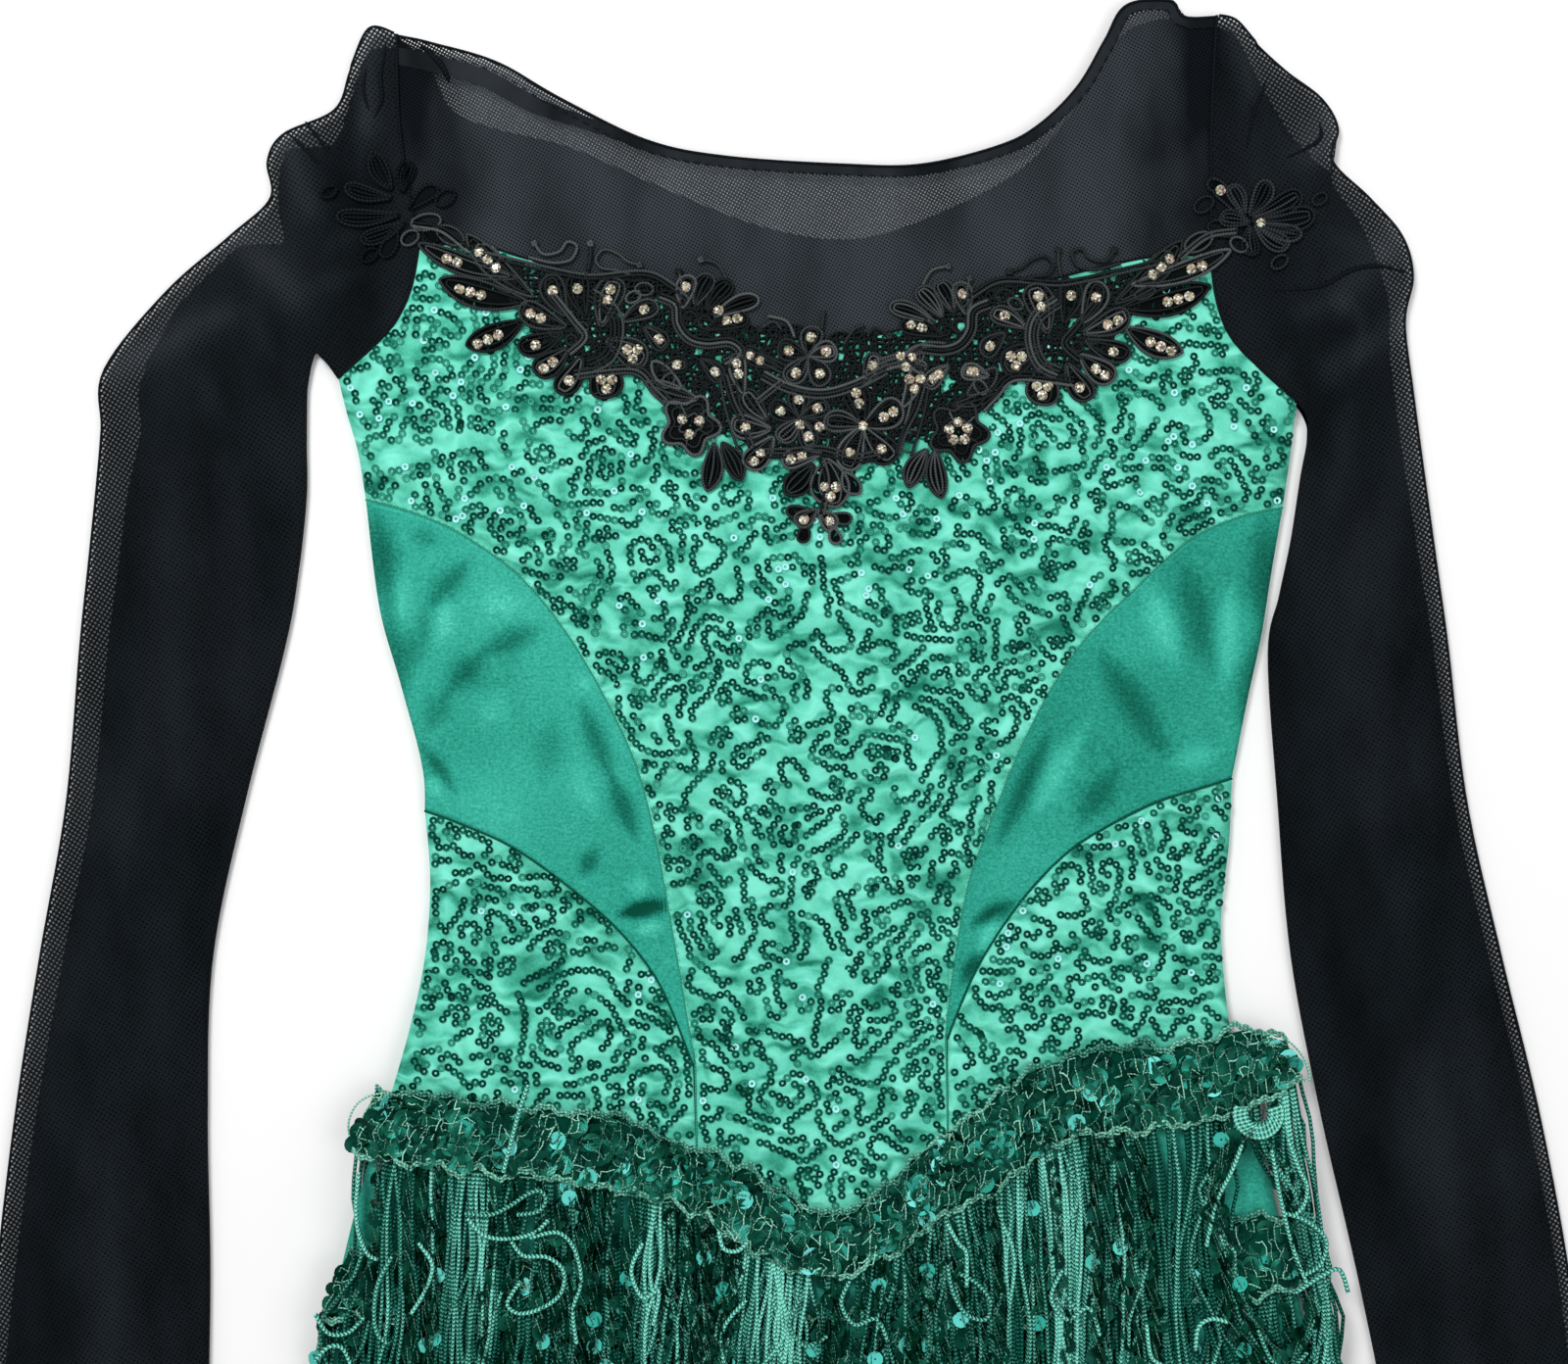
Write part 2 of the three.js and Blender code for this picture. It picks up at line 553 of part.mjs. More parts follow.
const LACE_LEAVES = [
  [-98, 192, 157, 42, 9], // long leaves of the wing, towards the armhole
  [-95, 202, 154, 44, 8],
  [-103, 190, 191, 33, 8.5],
  [-124, 211, 156, 26, 11],
  [-80, 190, 10, 32, 6], // stem from the wing to the small fan
  [-50, 190, 270, 16, 6], // and from there to the bands
  [-71, 173, 222, 18, 7],
  [-43, 144, 256, 19, 7],
  [-40, 148, 300, 21, 7],
  [-36, 176, 352, 32, 12], // bands between the fans and the middle
  [-36, 168, 355, 32, 12],
  [-62, 180, 348, 30, 9],
  [-97, 206, 14, 36, 7], // scrolls along the top
  [-70, 204, 346, 30, 7],
  [-60, 172, 302, 20, 8],
  [-40, 155, 8, 36, 12],
  [0, 152, 270, 18, 9], // stem of the drop
];
const SPRIG_FANS = {
  left: [[-165, 236, 60, 330, 5, 15, 8, 5]],
  right: [[165, 236, -30, 240, 6, 15, 8, 5]],
};
const SPRIG_LEAVES = {
  left: [[-164, 234, 330, 20, 9], [-164, 238, 95, 16, 5]],
  right: [[162, 234, 212, 20, 10], [160, 238, 130, 18, 5]],
};

function laceSolid(fanTable, leafTable, mirrored, low) {
  const petals = [];
  const discs = [];
  for (const sign of mirrored ? [1, -1] : [1]) {
    for (const f of rows(FAN_COLUMNS, fanTable)) {
      if (sign < 0 && f.x === 0) continue;
      discs.push([sign * f.x, f.y, f.hub]);
      for (let i = 0; i < f.petals; i++) {
        const angle = mix(f.first, f.last, i / (f.petals - 1));
        petals.push([sign * f.x, f.y, sign > 0 ? angle : 180 - angle, f.length, f.width]);
      }
    }
    for (const l of rows(LEAF_COLUMNS, leafTable)) {
      if (sign < 0 && l.x === 0) continue;
      petals.push([sign * l.x, l.y, sign > 0 ? l.angle : 180 - l.angle, l.length, l.width]);
    }
  }
  return toGeometry(joined([
    ...petals.map((p) => plate(teardrop(...p), low, low + LACE.petal)),
    ...discs.map(([x, y, r]) => new THREE.CylinderGeometry(r * LACE.dome, r, LACE.hub, 8).rotateX(Math.PI / 2)
      .translate(x, y, low + LACE.hub / 2)),
  ]));
}

// ---------------------------------------------------------------- sequin trims
const TRIM_STEPS = 40;
const TRIM_BASE = HIP_TOP + LAYER;
const scallops = (line, amount) =>
  line.map((p) => new THREE.Vector2(p.x, p.y + amount * Math.abs(Math.sin((Math.PI * p.x) / TRIM.scallopPitch))));

// A band that lies on the hips at its top edge and over the fringe's tape at its bottom edge.
function trimBand({ top, bottom }) {
  const ROWS = 3;
  const upper = scallops(spline(top, TRIM_STEPS), TRIM.scallop);
  const lower = scallops(spline(bottom, TRIM_STEPS), -TRIM.scallop);
  const end = (k) => spline([lower.at(k).toArray(), upper.at(k).toArray()], ROWS);
  const grid = patch(lower, upper, end(0), end(-1));
  const over = STRIP.wall + 2 * LAYER;
  const under = grid.map((row, j) => row.map((p) => new THREE.Vector3(p.x, p.y, TRIM_BASE + (j < ROWS ? over : 0))));
  const ruffle = (p, j, i) => TRIM.bump * ((i + j) % 2);
  const outer = under.map((row, j) =>
    row.map((p, i) => new THREE.Vector3(p.x, p.y, p.z + TRIM.wall + ruffle(p, j, i))),
  );
  return wallBetween(under, outer);
}

// The lower trim runs like the upper one, flatter and further down.
const LOWER_SPREAD = 1.06;
const lowered = (points, level) => points.map(([x, y]) => [x * LOWER_SPREAD, mix(y, level, 0.45) - LOWER_TIER_DROP]);
const TRIMS = {
  trim_upper: { top: TRIM_EDGES.upperTop, bottom: TRIM_EDGES.upperBottom },
  trim_lower: { top: lowered(TRIM_EDGES.upperTop, -106), bottom: lowered(TRIM_EDGES.upperBottom, -132) },
};

// ---------------------------------------------------------------- fringe
// Locks from a tape down to their ends. Drops are distances below the root at which a lock has a section.
function fringe({ tape, locks, drops, levels, end, spread, fall }) {
  const SWAY = { width: 1.5, pitch: 62, shift: 41 };
  const TAPE_STEPS = 24;
  const line = spline(tape, locks * 2);
  const middle = spline(tape, TAPE_STEPS);
  const half = STRIP.width / 2;
  const moved = (p, dy) => new THREE.Vector2(p.x, p.y + dy);
  const side = (p) => [p, moved(p, 2 * half)];
  const low = middle.map((p) => moved(p, -half));
  const high = middle.map((p) => moved(p, half));
  const parts = [clothWall(patch(low, high, side(low[0]), side(low.at(-1))), () => levels[0], STRIP.wall)];
  for (let k = 0; k < locks; k++) {
    const root = moved(line[2 * k + 1], LOCK.width - half);
    const share = (root.x - line[0].x) / (line.at(-1).x - line[0].x);
    const tip = new THREE.Vector2(mix(spread[0], spread[1], share), end + RAGGED.height * Math.sin(k * RAGGED.step));
    const runs = drops.length + 2;
    const heights = [LOCK.rootHeight, ...drops.map((_, i) => (i ? LOCK.height : LOCK.neckHeight))];
    const path = Array.from({ length: runs + 1 }, (_, i) => {
      const from = root.y - (drops.at(-1) ?? 0);
      const y = i <= drops.length ? root.y - [0, ...drops][i] : mix(from, tip.y, (i - drops.length) / (runs - drops.length));
      const t = (root.y - y) / (root.y - tip.y);
      const sway = SWAY.width * Math.sin((2 * Math.PI * y) / SWAY.pitch + root.x / SWAY.shift) * t;
      return new THREE.Vector2(mix(root.x, tip.x, Math.min(1, Math.sqrt(t) * 1.02)) + sway, y);
    });
    const outside = (p) => Math.max(edgeAt(sides.left, p.y) - p.x, p.x - edgeAt(sides.right, p.y)) > LOCK.width;
    const falls = fall !== undefined && outside(path.at(-1));
    const firstOut = falls ? path.findIndex((p, i) => i >= drops.length && outside(p)) : -1;
    const z = (i) => {
      if (firstOut >= 0 && i > firstOut) return mix(levels.at(-1), fall, (i - firstOut) / (runs - firstOut));
      return levels[Math.min(i, levels.length - 1)];
    };
    const under = [];
    const over = [];
    path.forEach((p, i) => {
      const TIP = 0.5;
      const w = (LOCK.width / 2) * (i === runs ? TIP : 1);
      const h = i === runs ? LOCK.height * TIP : (heights[i] ?? LOCK.height);
      under.push([new THREE.Vector3(p.x - w, p.y, z(i)), new THREE.Vector3(p.x + w, p.y, z(i))]);
      over.push(new THREE.Vector3(p.x, p.y, z(i) + h));
    });
    parts.push(prism(under, over));
  }
  return toGeometry(joined(parts));
}

// A three-sided bar through sections that each have two lower points and one upper point, running down -Y.
function prism(under, over) {
  const position = under.flatMap(([a, b], i) => [a, b, over[i]]).flatMap((p) => [p.x, p.y, p.z]);
  const index = [0, 2, 1];
  const last = under.length - 1;
  for (let i = 0; i < last; i++) {
    for (const [a, b] of [[0, 1], [1, 2], [2, 0]]) {
      const [p, q, r, s] = [3 * i + a, 3 * i + b, 3 * (i + 1) + b, 3 * (i + 1) + a];
      index.push(p, q, r, p, r, s);
    }
  }
  index.push(3 * last, 3 * last + 1, 3 * last + 2);
  const geometry = new THREE.BufferGeometry()
    .setAttribute("position", new THREE.Float32BufferAttribute(position, 3))
    .setIndex(index);
  return geometry;
}

const RAGGED = { height: 4, step: 2.4 };
const tapeUnder = ({ bottom }) => bottom.map(([x, y]) => [x, y + STRIP.aboveEdge]);
const FLOOR_GAP = LAYER;
const UPPER_RUN = TRIM_BASE + STRIP.wall + 2 * LAYER + TRIM.wall + TRIM.bump + LAYER; // over the lower trim
const TIERS = {
  fringe_upper: {
    tape: tapeUnder(TRIMS.trim_upper),
    locks: 42,
    drops: [11, 26],
    levels: [TRIM_BASE, TRIM_BASE, UPPER_RUN],
    spread: [-204, 206],
    end: -268,
  },
  fringe_lower: {
    tape: tapeUnder(TRIMS.trim_lower),
    locks: 34,
    drops: [11],
    levels: [TRIM_BASE],
    spread: [-208, 209],
    end: -312,
    fall: HIP_LIFT + 0.2,
  },
  fringe_back: {
    tape: [[-176, -150], [-90, -153], [0, -154], [90, -153], [176, -150]],
    locks: 26,
    drops: [],
    levels: [FLOOR_GAP],
    spread: [-203, 204],
    end: -301,
  },
};

// ---------------------------------------------------------------- assembly
const group = new THREE.Group();
function add(name, finish, geometry) {
  const mesh = new THREE.Mesh(geometry, new THREE.MeshStandardMaterial(COLOURS[finish]));
  mesh.name = name;
  group.add(mesh);
}

const LACE_LEVEL = WALL + LAYER + CROWN + WALL + LAYER;
add("back_bodice", "sequined", backBodice());
add("back_yoke", "net", backYoke());
add("back_shorts", "satin", shortsPanel(backUnder));
add("front_shorts", "satin", shortsPanel(frontUnder));
add("front_centre", "sequined", centrePanel());
add("front_yoke", "net", frontYoke());
for (const side of ["left", "right"]) {
  add(`inset_${side}`, "satin", insetPanel(side));
  add(`hip_${side}`, "sequined", hipPanel(side));
  add(`sleeve_${side}`, "net", sleeveTube(side));
  add(`sprig_${side}`, "lace", laceSolid(SPRIG_FANS[side], SPRIG_LEAVES[side], false, LACE_LEVEL + LAYER));
}
add("applique", "lace", laceSolid(LACE_FANS, LACE_LEAVES, true, LACE_LEVEL));
for (const [name, edges] of Object.entries(TRIMS)) add(name, "trim", trimBand(edges));
for (const [name, tier] of Object.entries(TIERS)) add(name, "fringe", fringe(tier));

export default group;
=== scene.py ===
import json
import math

import bpy
import numpy as np
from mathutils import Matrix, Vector
from mathutils.bvhtree import BVHTree

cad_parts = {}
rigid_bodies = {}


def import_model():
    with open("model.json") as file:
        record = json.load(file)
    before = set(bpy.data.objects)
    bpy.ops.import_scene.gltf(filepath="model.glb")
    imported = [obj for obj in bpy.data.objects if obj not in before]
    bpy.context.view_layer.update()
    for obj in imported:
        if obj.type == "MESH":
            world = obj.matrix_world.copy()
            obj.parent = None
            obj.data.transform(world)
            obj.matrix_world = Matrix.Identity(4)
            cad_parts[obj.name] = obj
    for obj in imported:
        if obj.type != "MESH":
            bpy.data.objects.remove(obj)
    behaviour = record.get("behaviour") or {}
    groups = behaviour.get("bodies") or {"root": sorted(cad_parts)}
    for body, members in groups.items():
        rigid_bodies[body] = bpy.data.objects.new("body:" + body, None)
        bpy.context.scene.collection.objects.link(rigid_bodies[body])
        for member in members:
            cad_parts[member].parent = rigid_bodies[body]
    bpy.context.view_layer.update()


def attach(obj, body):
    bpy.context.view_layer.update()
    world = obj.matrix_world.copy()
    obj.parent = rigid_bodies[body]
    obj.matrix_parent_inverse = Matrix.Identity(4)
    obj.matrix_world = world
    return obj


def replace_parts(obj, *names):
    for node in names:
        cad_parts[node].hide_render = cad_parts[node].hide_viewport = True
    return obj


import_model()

# Millimetres throughout; meshes are made in metres by MM. The outlines repeat those of the CAD part.
MM = 0.001
WALL, LAYER, SEAM, CROWN, CROWN_EDGE = 1.2, 0.4, 0.36, 1.4, 12.0
HIP_LIFT, HIP_SLACK = 3.4, 0.5
HIP_RAMP = (-38.0, -92.0)
HEM_RAMP = (-325.0, -348.0)
HIP_TOP = HIP_LIFT + WALL + LAYER + HIP_SLACK + WALL
TRIM_BASE = HIP_TOP + LAYER

SIDE = {
    "left": {
        "chest": [(-180, 169), (-177, 156), (-173, 142), (-170, 124)],
        "inset": [(-170, 124), (-165, 84), (-157, 55), (-149, 25), (-148, 8)],
        "hip": [(-148, 8), (-146, -18), (-148, -47), (-154, -76), (-163, -107)],
        "short": [(-163, -107), (-170, -128), (-179, -164), (-187, -200), (-192, -245), (-195, -309),
                  (-196, -345)],
    },
    "right": {
        "chest": [(177, 160), (175, 142), (172, 121)],
        "inset": [(172, 121), (168, 98), (164, 73), (159, 50), (153, 20)],
        "hip": [(153, 20), (152, -4), (149, -33), (151, -66), (154, -87)],
        "short": [(154, -87), (164, -120), (173, -156), (183, -200), (189, -245), (192, -309), (193, -345)],
    },
}
ARMHOLE = {
    "left": {"upper": [(-158, 297), (-157, 262), (-150, 218)],
             "lower": [(-150, 218), (-153, 202), (-161, 187), (-180, 169)]},
    "right": {"upper": [(147, 304), (145, 263), (145, 214)],
              "lower": [(145, 214), (147, 198), (154, 182), (177, 160)]},
}
YOKE_SEAM = [(-150, 218), (-130, 219), (-108, 213), (-65, 200), (-32, 188), (0, 183), (33, 188), (66, 200),
             (106, 211),
             (130, 215), (145, 214)]
NECK_FRONT = [(-158, 297), (-145, 294), (-121, 287), (-96, 273), (-65, 258), (-36, 252), (8, 249), (37, 249),
              (66, 256),
              (81, 264), (95, 278), (105, 295), (113, 308), (130, 310), (135, 304), (147, 304)]
NECK_BACK = [(-158, 296), (-147, 286), (-138, 269), (-122, 262), (-94, 255), (-62, 241), (-21, 225),
             (15, 221), (52, 234),
             (76, 248), (92, 266), (108, 292), (122, 302), (147, 303)]
INSET = {
    "left": {
        "upper": [(-170, 124), (-152, 119), (-134, 111), (-112, 95), (-94, 73), (-79, 47), (-68, 22),
                  (-61, -7),
                  (-55, -40), (-50, -69), (-47, -85)],
        "lower": [(-148, 8), (-134, 3), (-116, -5), (-97, -18), (-79, -33), (-65, -49), (-57, -63),
                  (-47.6, -86.5)],
    },
    "right": {
        "upper": [(172, 121), (157, 118), (137, 109), (117, 91), (99, 73), (84, 51), (73, 29), (63, 4),
                  (55, -18),
                  (50, -44), (46, -75)],
        "lower": [(153, 20), (143, 17), (124, 11), (106, 2), (92, -7), (77, -22), (64, -40), (55, -56),
                  (46.6, -76.5)],
    },
}
HEM = {
    "left": [(-163, -107), (-116, -113), (-76, -119), (-46, -129)],
    "middle": [(-46, -129), (-21, -142), (3, -151), (26, -142), (47, -125)],
    "right": [(47, -125), (81, -104), (113, -94), (154, -87)],
}
SHORT_FOOT, CROTCH, LEG_GAP = -348.0, (0.6, -291.0), 1.9
TRIM_TOP = [(-165, -95), (-133, -99), (-95, -103), (-72, -107), (-52, -115), (-25, -126), (2, -141),
            (23, -131),
            (39, -117), (65, -97), (79, -88), (106, -80), (132, -80), (157, -73), (172, -78)]
TRIM_BOTTOM = [(-174, -117), (-140, -124), (-114, -126), (-76, -132), (-46, -140), (-29, -152), (1, -163),
               (29, -154), (42, -142), (63, -132), (89, -113), (117, -110), (151, -104), (168, -96),
               (177, -90)]
# outer edge x, y, inner edge x, y, how far the top stands off the bottom
SLEEVE = {
    "left": [
        (-158.0, 297, -180.0, 169, 2.2), (-168, 299, -183.5, 174, 2.2), (-175, 284, -186.5, 177, 2.4),
        (-181, 269, -188, 178.5, 2.4), (-200, 260, -189, 178, 2.4), (-206, 250, -189.6, 176, 2.2),
        (-205, 236, -190.2, 174, 2.0), (-220, 222, -190.8, 171, 1.9), (-244, 201, -191.3, 168, 1.7),
        (-267, 172, -191.8, 163, 1.5), (-268, 150, -192, 145, 1.3), (-270, 127, -192, 125, 1.2),
        (-273, 98, -195, 97, 1.1), (-276, 69, -200, 69, 1.0), (-281, 11, -215, 11, 0.9),
        (-291, -47, -227, -47, 0.9), (-300, -105, -229, -105, 0.9), (-307, -164, -228, -164, 0.9),
        (-312, -220, -229, -220, 0.9), (-316, -270, -231, -270, 0.8)],
    "right": [
        (147.0, 304, 177.0, 160, 2.2), (154, 302, 179.6, 157, 2.2), (162, 293, 180.6, 155, 2.4),
        (173, 283, 181.2, 153, 2.4), (186, 273, 181.5, 150, 2.4), (192, 262, 181.3, 148, 2.2),
        (190, 250, 181, 146, 2.0), (204, 236, 180.6, 143, 1.9), (216, 222, 180, 140, 1.8),
        (220, 207, 179.4, 137, 1.7), (217, 190, 178.5, 132, 1.6), (220, 164, 177.6, 126, 1.4),
        (225, 127, 174.8, 108, 1.2), (229, 98, 170.6, 88, 1.1), (233, 69, 166.4, 66, 1.0),
        (240, 11, 170, 11, 0.9), (253, -47, 175, -47, 0.9), (267, -105, 186, -105, 0.9),
        (278, -164, 199.5, -164, 0.9), (285, -220, 211, -220, 0.9), (291, -270, 220, -270, 0.8)],
}
# x1, y1, x2, y2, half width, height
SLEEVE_FOLDS = [
    (-167, 296, -169, 262, 4.5, 2.4), (-199, 256, -190, 232, 6, 2.4), (-216, 221, -196, 199, 7, 2.2),
    (-262, 172, -222, 192, 6, 2.2), (-244, 130, -238, 20, 8, 1.0), (-262, -120, -268, -250, 9, 1.0),
    (153, 298, 160, 276, 4.5, 2.4), (190, 266, 182, 252, 6, 2.6), (214, 222, 194, 198, 7, 2.4),
    (218, 190, 190, 172, 6, 2.2), (207, 110, 204, 10, 8, 1.0), (226, -90, 248, -250, 9, 1.0)]
# Crests of soft folds in the sleeves that catch the light, in the same columns.
SLEEVE_CRESTS = [
    (175, 192, 188, 197, 3.2, 1.5), (188, 197, 199, 195, 3.2, 1.7), (199, 195, 201, 187, 3.0, 1.6),
    (201, 187, 198, 171, 3.2, 1.3), (188, 223, 213, 215, 3.5, 1.2), (175, 179, 164, 165, 4, 1.1),
    (170, 262, 176, 246, 4, 0.8),
    (196, 158, 190, 120, 6, 0.8), (222, 60, 228, 0, 6, 0.6), (-185, 216, -166, 228, 4, 0.9),
    (-191, 203, -171, 208, 4, 1.1),
    (-170, 270, -172, 246, 4, 0.8), (-214, 196, -204, 176, 4, 0.9), (-236, 176, -220, 150, 5, 0.8),
    (-250, 60, -262, -20, 6, 0.6), (-262, -60, -274, -130, 7, 0.6), (240, -60, 256, -130, 7, 0.6)]
BODY_FOLDS = [
    (-146, 26, -122, 4, 6, 0.8), (-150, 96, -118, 66, 8, 0.7), (-84, -22, -58, -34, 5, 0.7),
    (145, 96, 116, 62, 8, 0.7), (136, 40, 96, 12, 8, 0.6), (-120, -60, -60, -98, 8, 0.6),
    (60, -90, 130, -52, 8, 0.6)]
YOKE_FOLDS = [
    (-150, 290, -118, 279, 5, 1.8), (-126, 262, -96, 246, 7, 1.0), (118, 304, 130, 286, 5, 1.8),
    (96, 262, 128, 246, 8, 0.9)]

# The camera looks straight down, a picture 582 mm wide at the cloth.
VIEW_CENTRE, VIEW_WIDTH, CLOTH_TOP = (-14.0, 56.0), 582.0, 6.0
cam_data = bpy.data.cameras.new("camera")
cam_data.lens, cam_data.sensor_width, cam_data.clip_start = 50, 36, 0.01
cam = bpy.data.objects.new("camera", cam_data)
cam.location = (VIEW_CENTRE[0] * MM, VIEW_CENTRE[1] * MM, (CLOTH_TOP + VIEW_WIDTH * 50 / 36) * MM)
bpy.context.scene.collection.objects.link(cam)
bpy.context.scene.camera = cam
bpy.context.scene.view_settings.view_transform = "Standard"

# Folds of the satin: x, y of the two ends, half width, height; troughs are below nothing.
INSET_FOLDS = {
    "left": [
        (-166, 119, -161, 85, 6, -0.9), (-161, 85, -155, 52, 5, -0.8), (-131, 101, -146, 84, 4.5, -0.8),
        (-146, 84, -152, 62, 4.5, -0.5), (-105, 76, -126, 67, 5, -0.75), (-126, 67, -139, 52, 5, -0.7),
        (-139, 52, -147, 38, 4.5, -0.45), (-149, 33, -136, 15, 2.6, -0.8), (-89, 47, -78, 20, 4.2, -0.8),
        (-78, 20, -69, -2, 4, -0.85), (-99, 42, -104, 18, 6, -0.35), (-84, -6, -89, -16, 3.4, -0.75),
        (-75, -30.5, -57, -26.5, 2.6, -2.1), (-152, 111, -143, 108, 4, -0.5),
        (-156, 100, -157, 70, 3.5, 0.45),
        (-138, 86, -143, 70, 4, 0.5), (-128, 84, -112, 86, 5, 0.3), (-118, 52, -126, 40, 6, 0.35),
        (-90, 58, -86, 52, 4, 0.4), (-147, 20, -142, 14, 3.5, 0.5), (-72, -20, -64, -20, 3.5, 0.6),
        (-70, -37, -58, -34, 3, 0.7), (-92, 24, -84, 6, 4, 0.3)],
    "right": [
        (166, 118, 164, 76, 6, -0.8), (164, 76, 156, 40, 4, -0.7), (134, 100, 146, 60, 6, -0.5),
        (104, 66, 128, 30, 6, -0.7),
        (84, 36, 66, -4, 4, -0.8), (110, 24, 96, 4, 5, -0.6), (72, -26, 56, -34, 3, -1.3),
        (60, -44, 52, -56, 3, -1.1),
        (152, 92, 150, 56, 5, 0.7), (122, 92, 132, 62, 6, 0.7), (98, 40, 80, 8, 5, 0.6),
        (130, 26, 148, 30, 5, 0.5),
        (66, -30, 58, -46, 3, 0.6)],
}
rng = np.random.default_rng(11)


# ---------------------------------------------------------------- curves and surfaces
def smoothstep(a, b, v):
    t = np.clip((np.asarray(v, float) - a) / (b - a), 0, 1)
    return t * t * (3 - 2 * t)


def resample(points, n):
    """n + 1 points at even distance along a polyline."""
    p = np.asarray(points, float)
    d = np.r_[0, np.cumsum(np.linalg.norm(np.diff(p, axis=0), axis=1))]
    s = np.linspace(0, d[-1], n + 1)
    return np.column_stack([np.interp(s, d, p[:, i]) for i in range(p.shape[1])])


def smooth(points, per=24):
    """A uniform Catmull-Rom curve through the points."""
    p = np.asarray(points, float)
    if len(p) < 3:
        return p
    q = np.vstack([p[0], p, p[-1]])
    t = np.linspace(0, 1, per, endpoint=False)[:, None]
    out = []
    for a, b, c, d in zip(q[:-3], q[1:-2], q[2:-1], q[3:]):
        out.append(0.5 * (2 * b + (c - a) * t + (2 * a - 5 * b + 4 * c - d) * t**2 + (3 * b - a - 3 * c + d)
                          * t**3))
    return np.vstack(out + [p[-1:]])


def spline(points, n):
    return resample(smooth(points), n)


def chain(*lines):
    return np.vstack([l if i == 0 else l[1:] for i, l in enumerate(lines)])


def spaced_like(points, line):
    step = np.abs(np.diff(line[:, 0])) + 0.8 * np.abs(np.diff(line[:, 1]))
    s = np.r_[0, np.cumsum(step)] / step.sum()
    p = smooth(points)
    d = np.r_[0, np.cumsum(np.linalg.norm(np.diff(p, axis=0), axis=1))]
    return np.column_stack([np.interp(s * d[-1], d, p[:, i]) for i in (0, 1)])


def patch(bottom, top, left, right):
    n, m = len(bottom) - 1, len(left) - 1
    u = (np.arange(n + 1) / n)[None, :, None]
    v = (np.arange(m + 1) / m)[:, None, None]
    corner = (bottom[0] * (1 - u) + bottom[-1] * u) * (1 - v) + (top[0] * (1 - u) + top[-1] * u) * v
    return bottom[None] * (1 - v) + top[None] * v + left[:, None] * (1 - u) + right[:, None] * u - corner


def drawn_in(grid, by=SEAM / 2):
    g = grid.copy()
    m, n = g.shape[0] - 1, g.shape[1] - 1
    idx = [(0, i) for i in range(n)] + [(j, n) for j in range(m)] + [(m, i) for i in range(n, 0, -1)]
    idx += [(j, 0) for j in range(m, 0, -1)]
    jj, ii = np.array(idx).T
    rim = grid[jj, ii]
    d = np.roll(rim, -1, 0) - rim
    d /= np.maximum(np.linalg.norm(d, axis=1), 1e-9)[:, None]
    nrm = np.column_stack([-d[:, 1], d[:, 0]])
    mean = nrm + np.roll(nrm, 1, 0)
    g[jj, ii] = rim + mean * (by / np.maximum(0.5, (mean**2).sum(1) / 2))[:, None]
    return g


def edge_at(line, y):
    return np.interp(-np.asarray(y, float), -line[:, 1], line[:, 0])


def fold_height(table, x, y, taper=0.0):
    z = np.zeros_like(x)
    for x1, y1, x2, y2, half, h in table:
        dx, dy = x2 - x1, y2 - y1
        t = np.clip(((x - x1) * dx + (y - y1) * dy) / (dx * dx + dy * dy), 0, 1)
        w = half * (1 - taper + taper * np.sin(np.pi * t))
        z += (h * (1 - taper + taper * np.sin(np.pi * t))
              * np.exp(-(((x - x1 - t * dx) ** 2 + (y - y1 - t * dy) ** 2) / w**2)))
    return z


side_line = {
    s: chain(*[smooth(SIDE[s][k]) for k in ("chest", "inset", "hip", "short")]) for s in ("left", "right")
}


def lift(y):
    hem = np.clip((y - HEM_RAMP[1]) / (HEM_RAMP[0] - HEM_RAMP[1]), 0, 1)
    return HIP_LIFT * smoothstep(HIP_RAMP[0], HIP_RAMP[1], y) * hem


def crown(x, y):
    inside = np.maximum(0, np.minimum(x - edge_at(side_line["left"], y), edge_at(side_line["right"], y) - x))
    rise = 1 - np.exp(-inside / CROWN_EDGE)
    shoulder = smoothstep(150, 175, y)
    folds = fold_height(BODY_FOLDS, x, y) + fold_height(YOKE_FOLDS, x, y)
    return CROWN * (rise * (1 - shoulder) + shoulder) + folds


def back_under(x, y):
    return lift(y)


def front_under(x, y):
    free = smoothstep(HIP_RAMP[1], HIP_RAMP[0], y)
    return lift(y) + WALL + LAYER + HIP_SLACK * (1 - free) + crown(x, y) * free


# Value noise on a lattice, for puckers and creases.
def noise2(x, y, seed):
    xi, yi = np.floor(x).astype(int), np.floor(y).astype(int)
    fx, fy = x - xi, y - yi
    fx, fy = fx * fx * (3 - 2 * fx), fy * fy * (3 - 2 * fy)

    def h(a, b):
        k = (a * 374761393 + b * 668265263 + seed * 974634777) & 0xFFFFFFFF
        k = ((k ^ (k >> 13)) * 1274126177) & 0xFFFFFFFF
        return ((k ^ (k >> 16)) & 0xFFFF) / 65535.0

    top = h(xi, yi) * (1 - fx) + h(xi + 1, yi) * fx
    low = h(xi, yi + 1) * (1 - fx) + h(xi + 1, yi + 1) * fx
    return top * (1 - fy) + low * fy


def pucker(x, y):
    """Small soft valleys between the sewn lines, leaning both ways."""
    a = (x * 0.82 + y * 0.57) / 13.0
    b = (-x * 0.57 + y * 0.82) / 6.0
    c = (x * 0.8 - y * 0.6) / 12.0
    d = (x * 0.6 + y * 0.8) / 5.5
    return 0.5 * noise2(a, b, 3) + 0.5 * noise2(c, d, 9)


